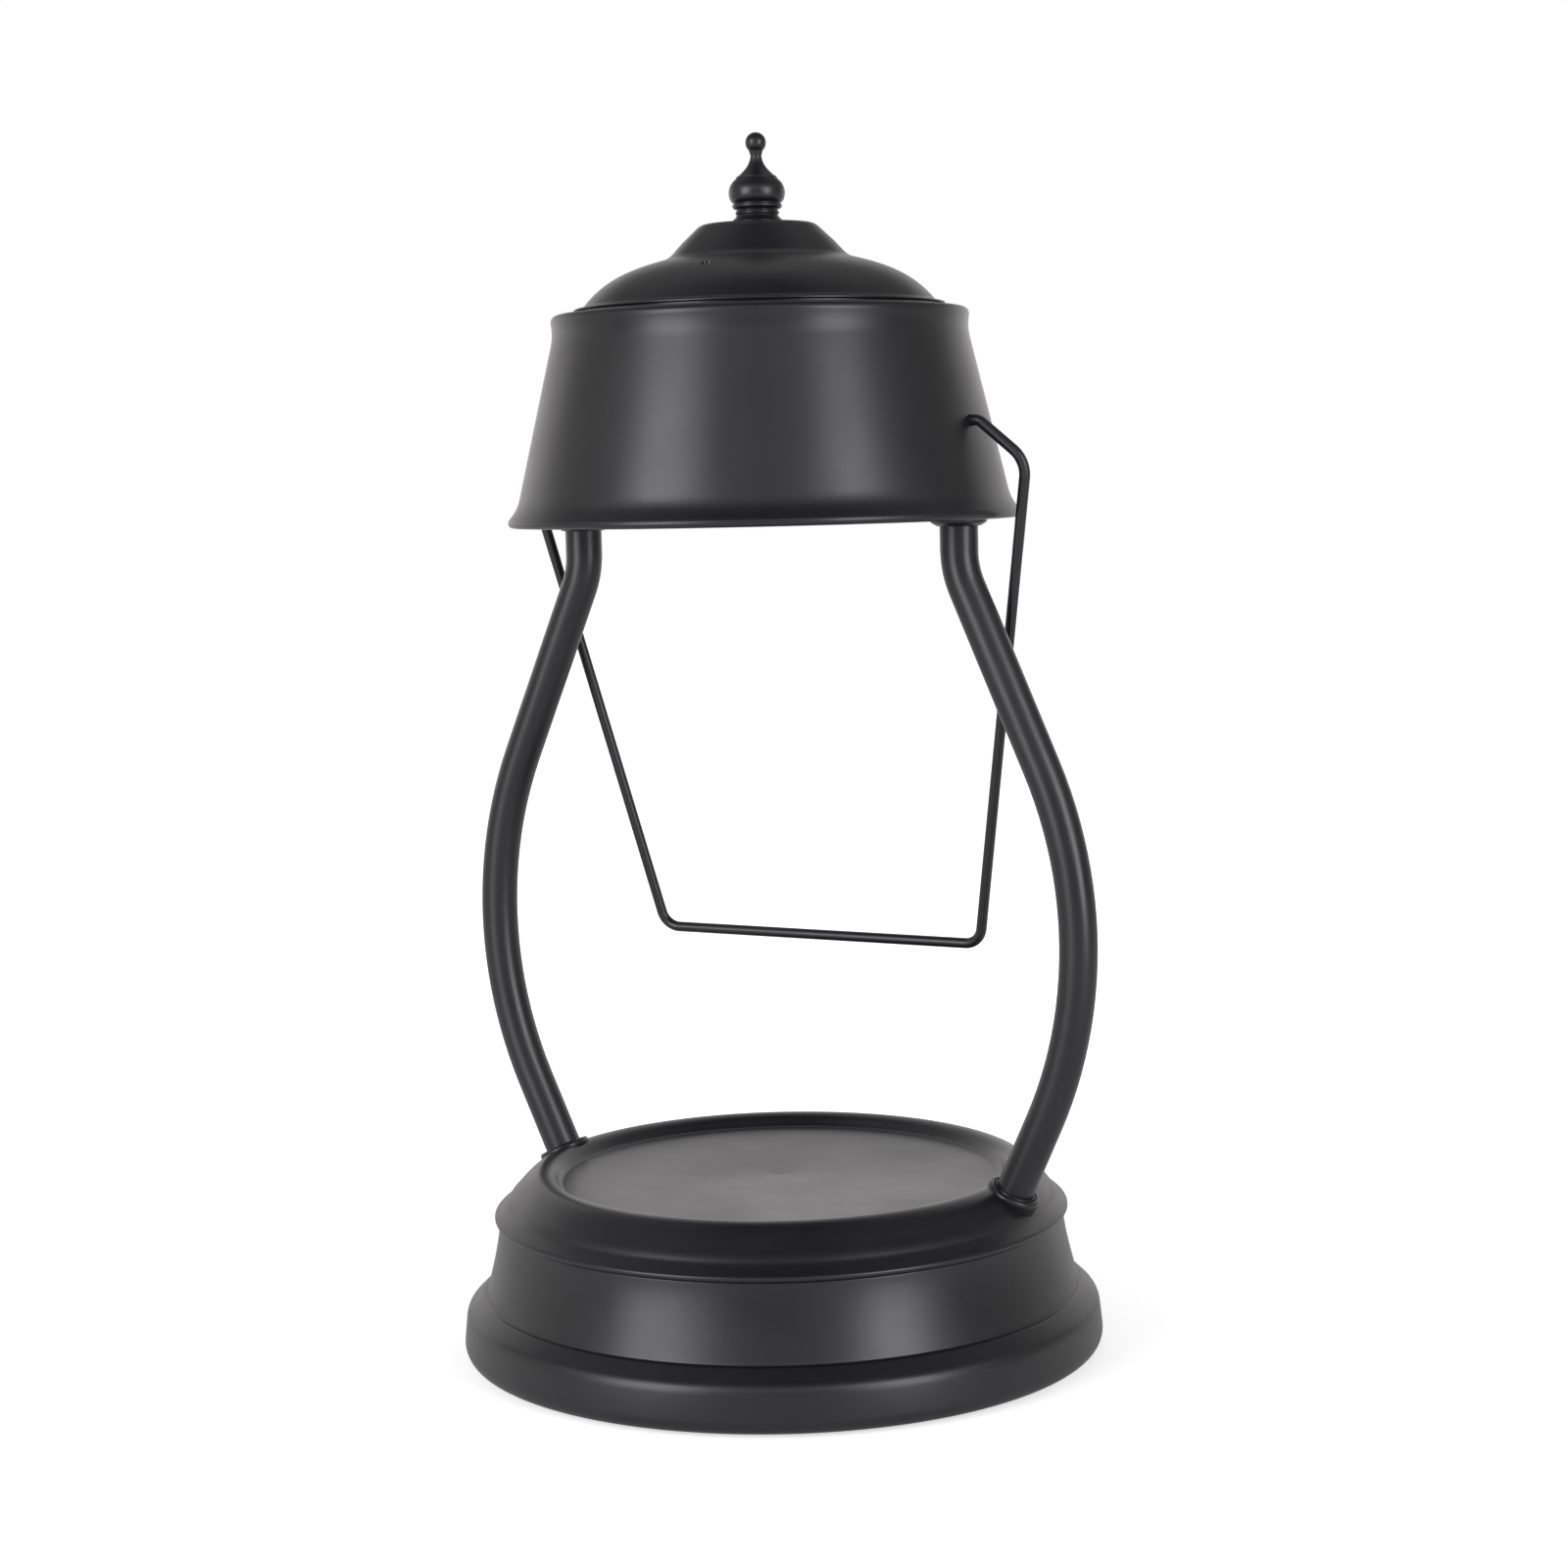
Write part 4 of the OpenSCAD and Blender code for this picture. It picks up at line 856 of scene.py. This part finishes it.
make_pan()
make_skirt()
make_post("right_post", 1)
make_post("left_post", -1)
make_foot_collar("foot_collar_right", 1)
make_foot_collar("foot_collar_left", -1)
make_head_collar("head_collar_right", 1)
make_head_collar("head_collar_left", -1)
make_shade()
make_cap()
make_finial()
make_bail()


# ------------------------------------------------------------------ floor and light
def make_floor_material():
    """A pale floor. Seen by the camera, it fades to white away from the lamp, and it is clear from below."""
    m = Mat("pale_floor").set(Roughness=0.9, Specular_IOR_Level=0.1)
    m.col(m.ramp(m.noise(2.0, 3), (0.3, 0.76), (0.7, 0.79)))
    path = m.n("ShaderNodeLightPath")
    far = m.n("ShaderNodeVectorMath", operation="LENGTH")
    m.link(m.where, far.inputs[0])
    seen = m.span(far.outputs["Value"], 0.6, 1.0, 0.2, 0.42)  # from 0.2 to 0.42 m off the lamp
    shown = m.math("MULTIPLY", path.outputs["Is Camera Ray"], seen)
    mirrored = m.math("MULTIPLY", path.outputs["Is Glossy Ray"], 0.2)
    glow = m.n("ShaderNodeEmission")
    m.link(m.math("ADD", shown, mirrored), glow.inputs["Strength"])
    both = m.n("ShaderNodeAddShader")
    m.link(m.p.outputs[0], both.inputs[0])
    m.link(glow.outputs[0], both.inputs[1])
    from_below = m.n("ShaderNodeNewGeometry").outputs["Backfacing"]
    clear = m.n("ShaderNodeBsdfTransparent").outputs[0]
    m.link(m.either(from_below, both.outputs[0], clear), m.out.inputs["Surface"])
    return m.m


def make_floor(radius=7, sides=64):
    """A wide round floor for the lamp to stand on, which is no part of it."""
    mesh = bpy.data.meshes.new("floor")
    bm = bmesh.new()
    turns = [2 * math.pi * i / sides for i in range(sides)]
    bm.faces.new([bm.verts.new((radius * math.cos(t), radius * math.sin(t), 0)) for t in turns])
    bm.to_mesh(mesh)
    bm.free()
    mesh.materials.append(make_floor_material())
    add_to_scene("floor", mesh)


class Sky(Nodes):
    """The world: a dim studio with a bright backdrop behind the lamp, low down. The camera sees white."""

    def __init__(self):
        world = bpy.data.worlds.new("studio")
        bpy.context.scene.world = world
        world.use_nodes = True
        super().__init__(world.node_tree)
        self.where = self.n("ShaderNodeTexCoord").outputs["Generated"]

    def by_height(self, *stops):
        """Colour by the sine of the elevation."""
        parts = self.n("ShaderNodeSeparateXYZ")
        self.link(self.where, parts.inputs[0])
        return self.ramp(parts.outputs["Z"], *stops)

    def towards(self, x, y):
        """How far a direction points towards (x, y), from -1 to 1."""
        node = self.n("ShaderNodeVectorMath", operation="DOT_PRODUCT")
        self.link(self.where, node.inputs[0])
        node.inputs[1].default_value = (x, y, 0)
        return node.outputs["Value"]

    def build(self, front, behind):
        """front is round the camera, behind is round the far side; both are dimmer to the camera's right."""
        turn = (math.cos(view_turn), math.sin(view_turn))
        away = self.towards(-turn[1], turn[0])
        share = self.span(away, 0, 1, -0.35, 0.45, interpolation_type="SMOOTHSTEP")
        lit = self.n("ShaderNodeBackground")
        self.link(self.mix(share, front, behind), lit.inputs["Color"])
        self.link(self.span(self.towards(*turn), 1.0, 0.55, 0.3, 1.0), lit.inputs["Strength"])
        seen = self.n("ShaderNodeBackground")
        seen.inputs["Color"].default_value = (1, 1, 1, 1)
        rays = self.n("ShaderNodeLightPath")
        pick = self.either(rays.outputs["Is Camera Ray"], lit.outputs[0], seen.outputs[0])
        self.link(pick, self.n("ShaderNodeOutputWorld").inputs["Surface"])


light_tint = (0.985, 0.965, 1.0)
lamp_middle = Vector((0, 0, 0.15))


def softbox(name, azimuth, elevation, distance, width, height, glow):
    """A soft rectangle of light, aimed at the lamp's middle. glow is the radiance of its face."""
    a, e = rad(azimuth), rad(elevation)
    back = Vector((math.sin(a) * math.cos(e), -math.cos(a) * math.cos(e), math.sin(e)))
    data = bpy.data.lights.new(name, "AREA")
    data.shape = "RECTANGLE"
    data.size = width
    data.size_y = height
    data.energy = glow * math.pi * width * height
    data.color = light_tint
    box = add_to_scene(name, data)
    box.location = lamp_middle + back * distance
    box.rotation_mode = "QUATERNION"
    box.rotation_quaternion = back.to_track_quat("Z", "Y")
    box.visible_camera = False


make_floor()

sky = Sky()
near_sky = sky.by_height((0.0, 0.28), (0.16, 0.3), (0.45, 1.2), (0.75, 0.2), (1.0, 0.08))
far_sky = sky.by_height((0.0, (1.0, 0.97, 0.94)), (0.25, (0.6, 0.575, 0.55)), (0.45, 0.34), (0.65, 0.26),
                        (0.84, 0.46), (0.95, 0.3), (1.0, 0.08))
sky.build(near_sky, far_sky)

# Azimuth and elevation in degrees, distance, width, height, glow
camera_side = math.degrees(view_turn)
softbox("key_left", camera_side - 48, 14, 1.6, 0.75, 1.0, 6.2)
softbox("fill_right", camera_side + 42, 12, 1.6, 0.6, 0.95, 6.8)
softbox("rear_card", camera_side + 180, 16, 0.36, 1.1, 0.36, 0.5)

# ------------------------------------------------------------------ end
bpy.context.view_layer.update()
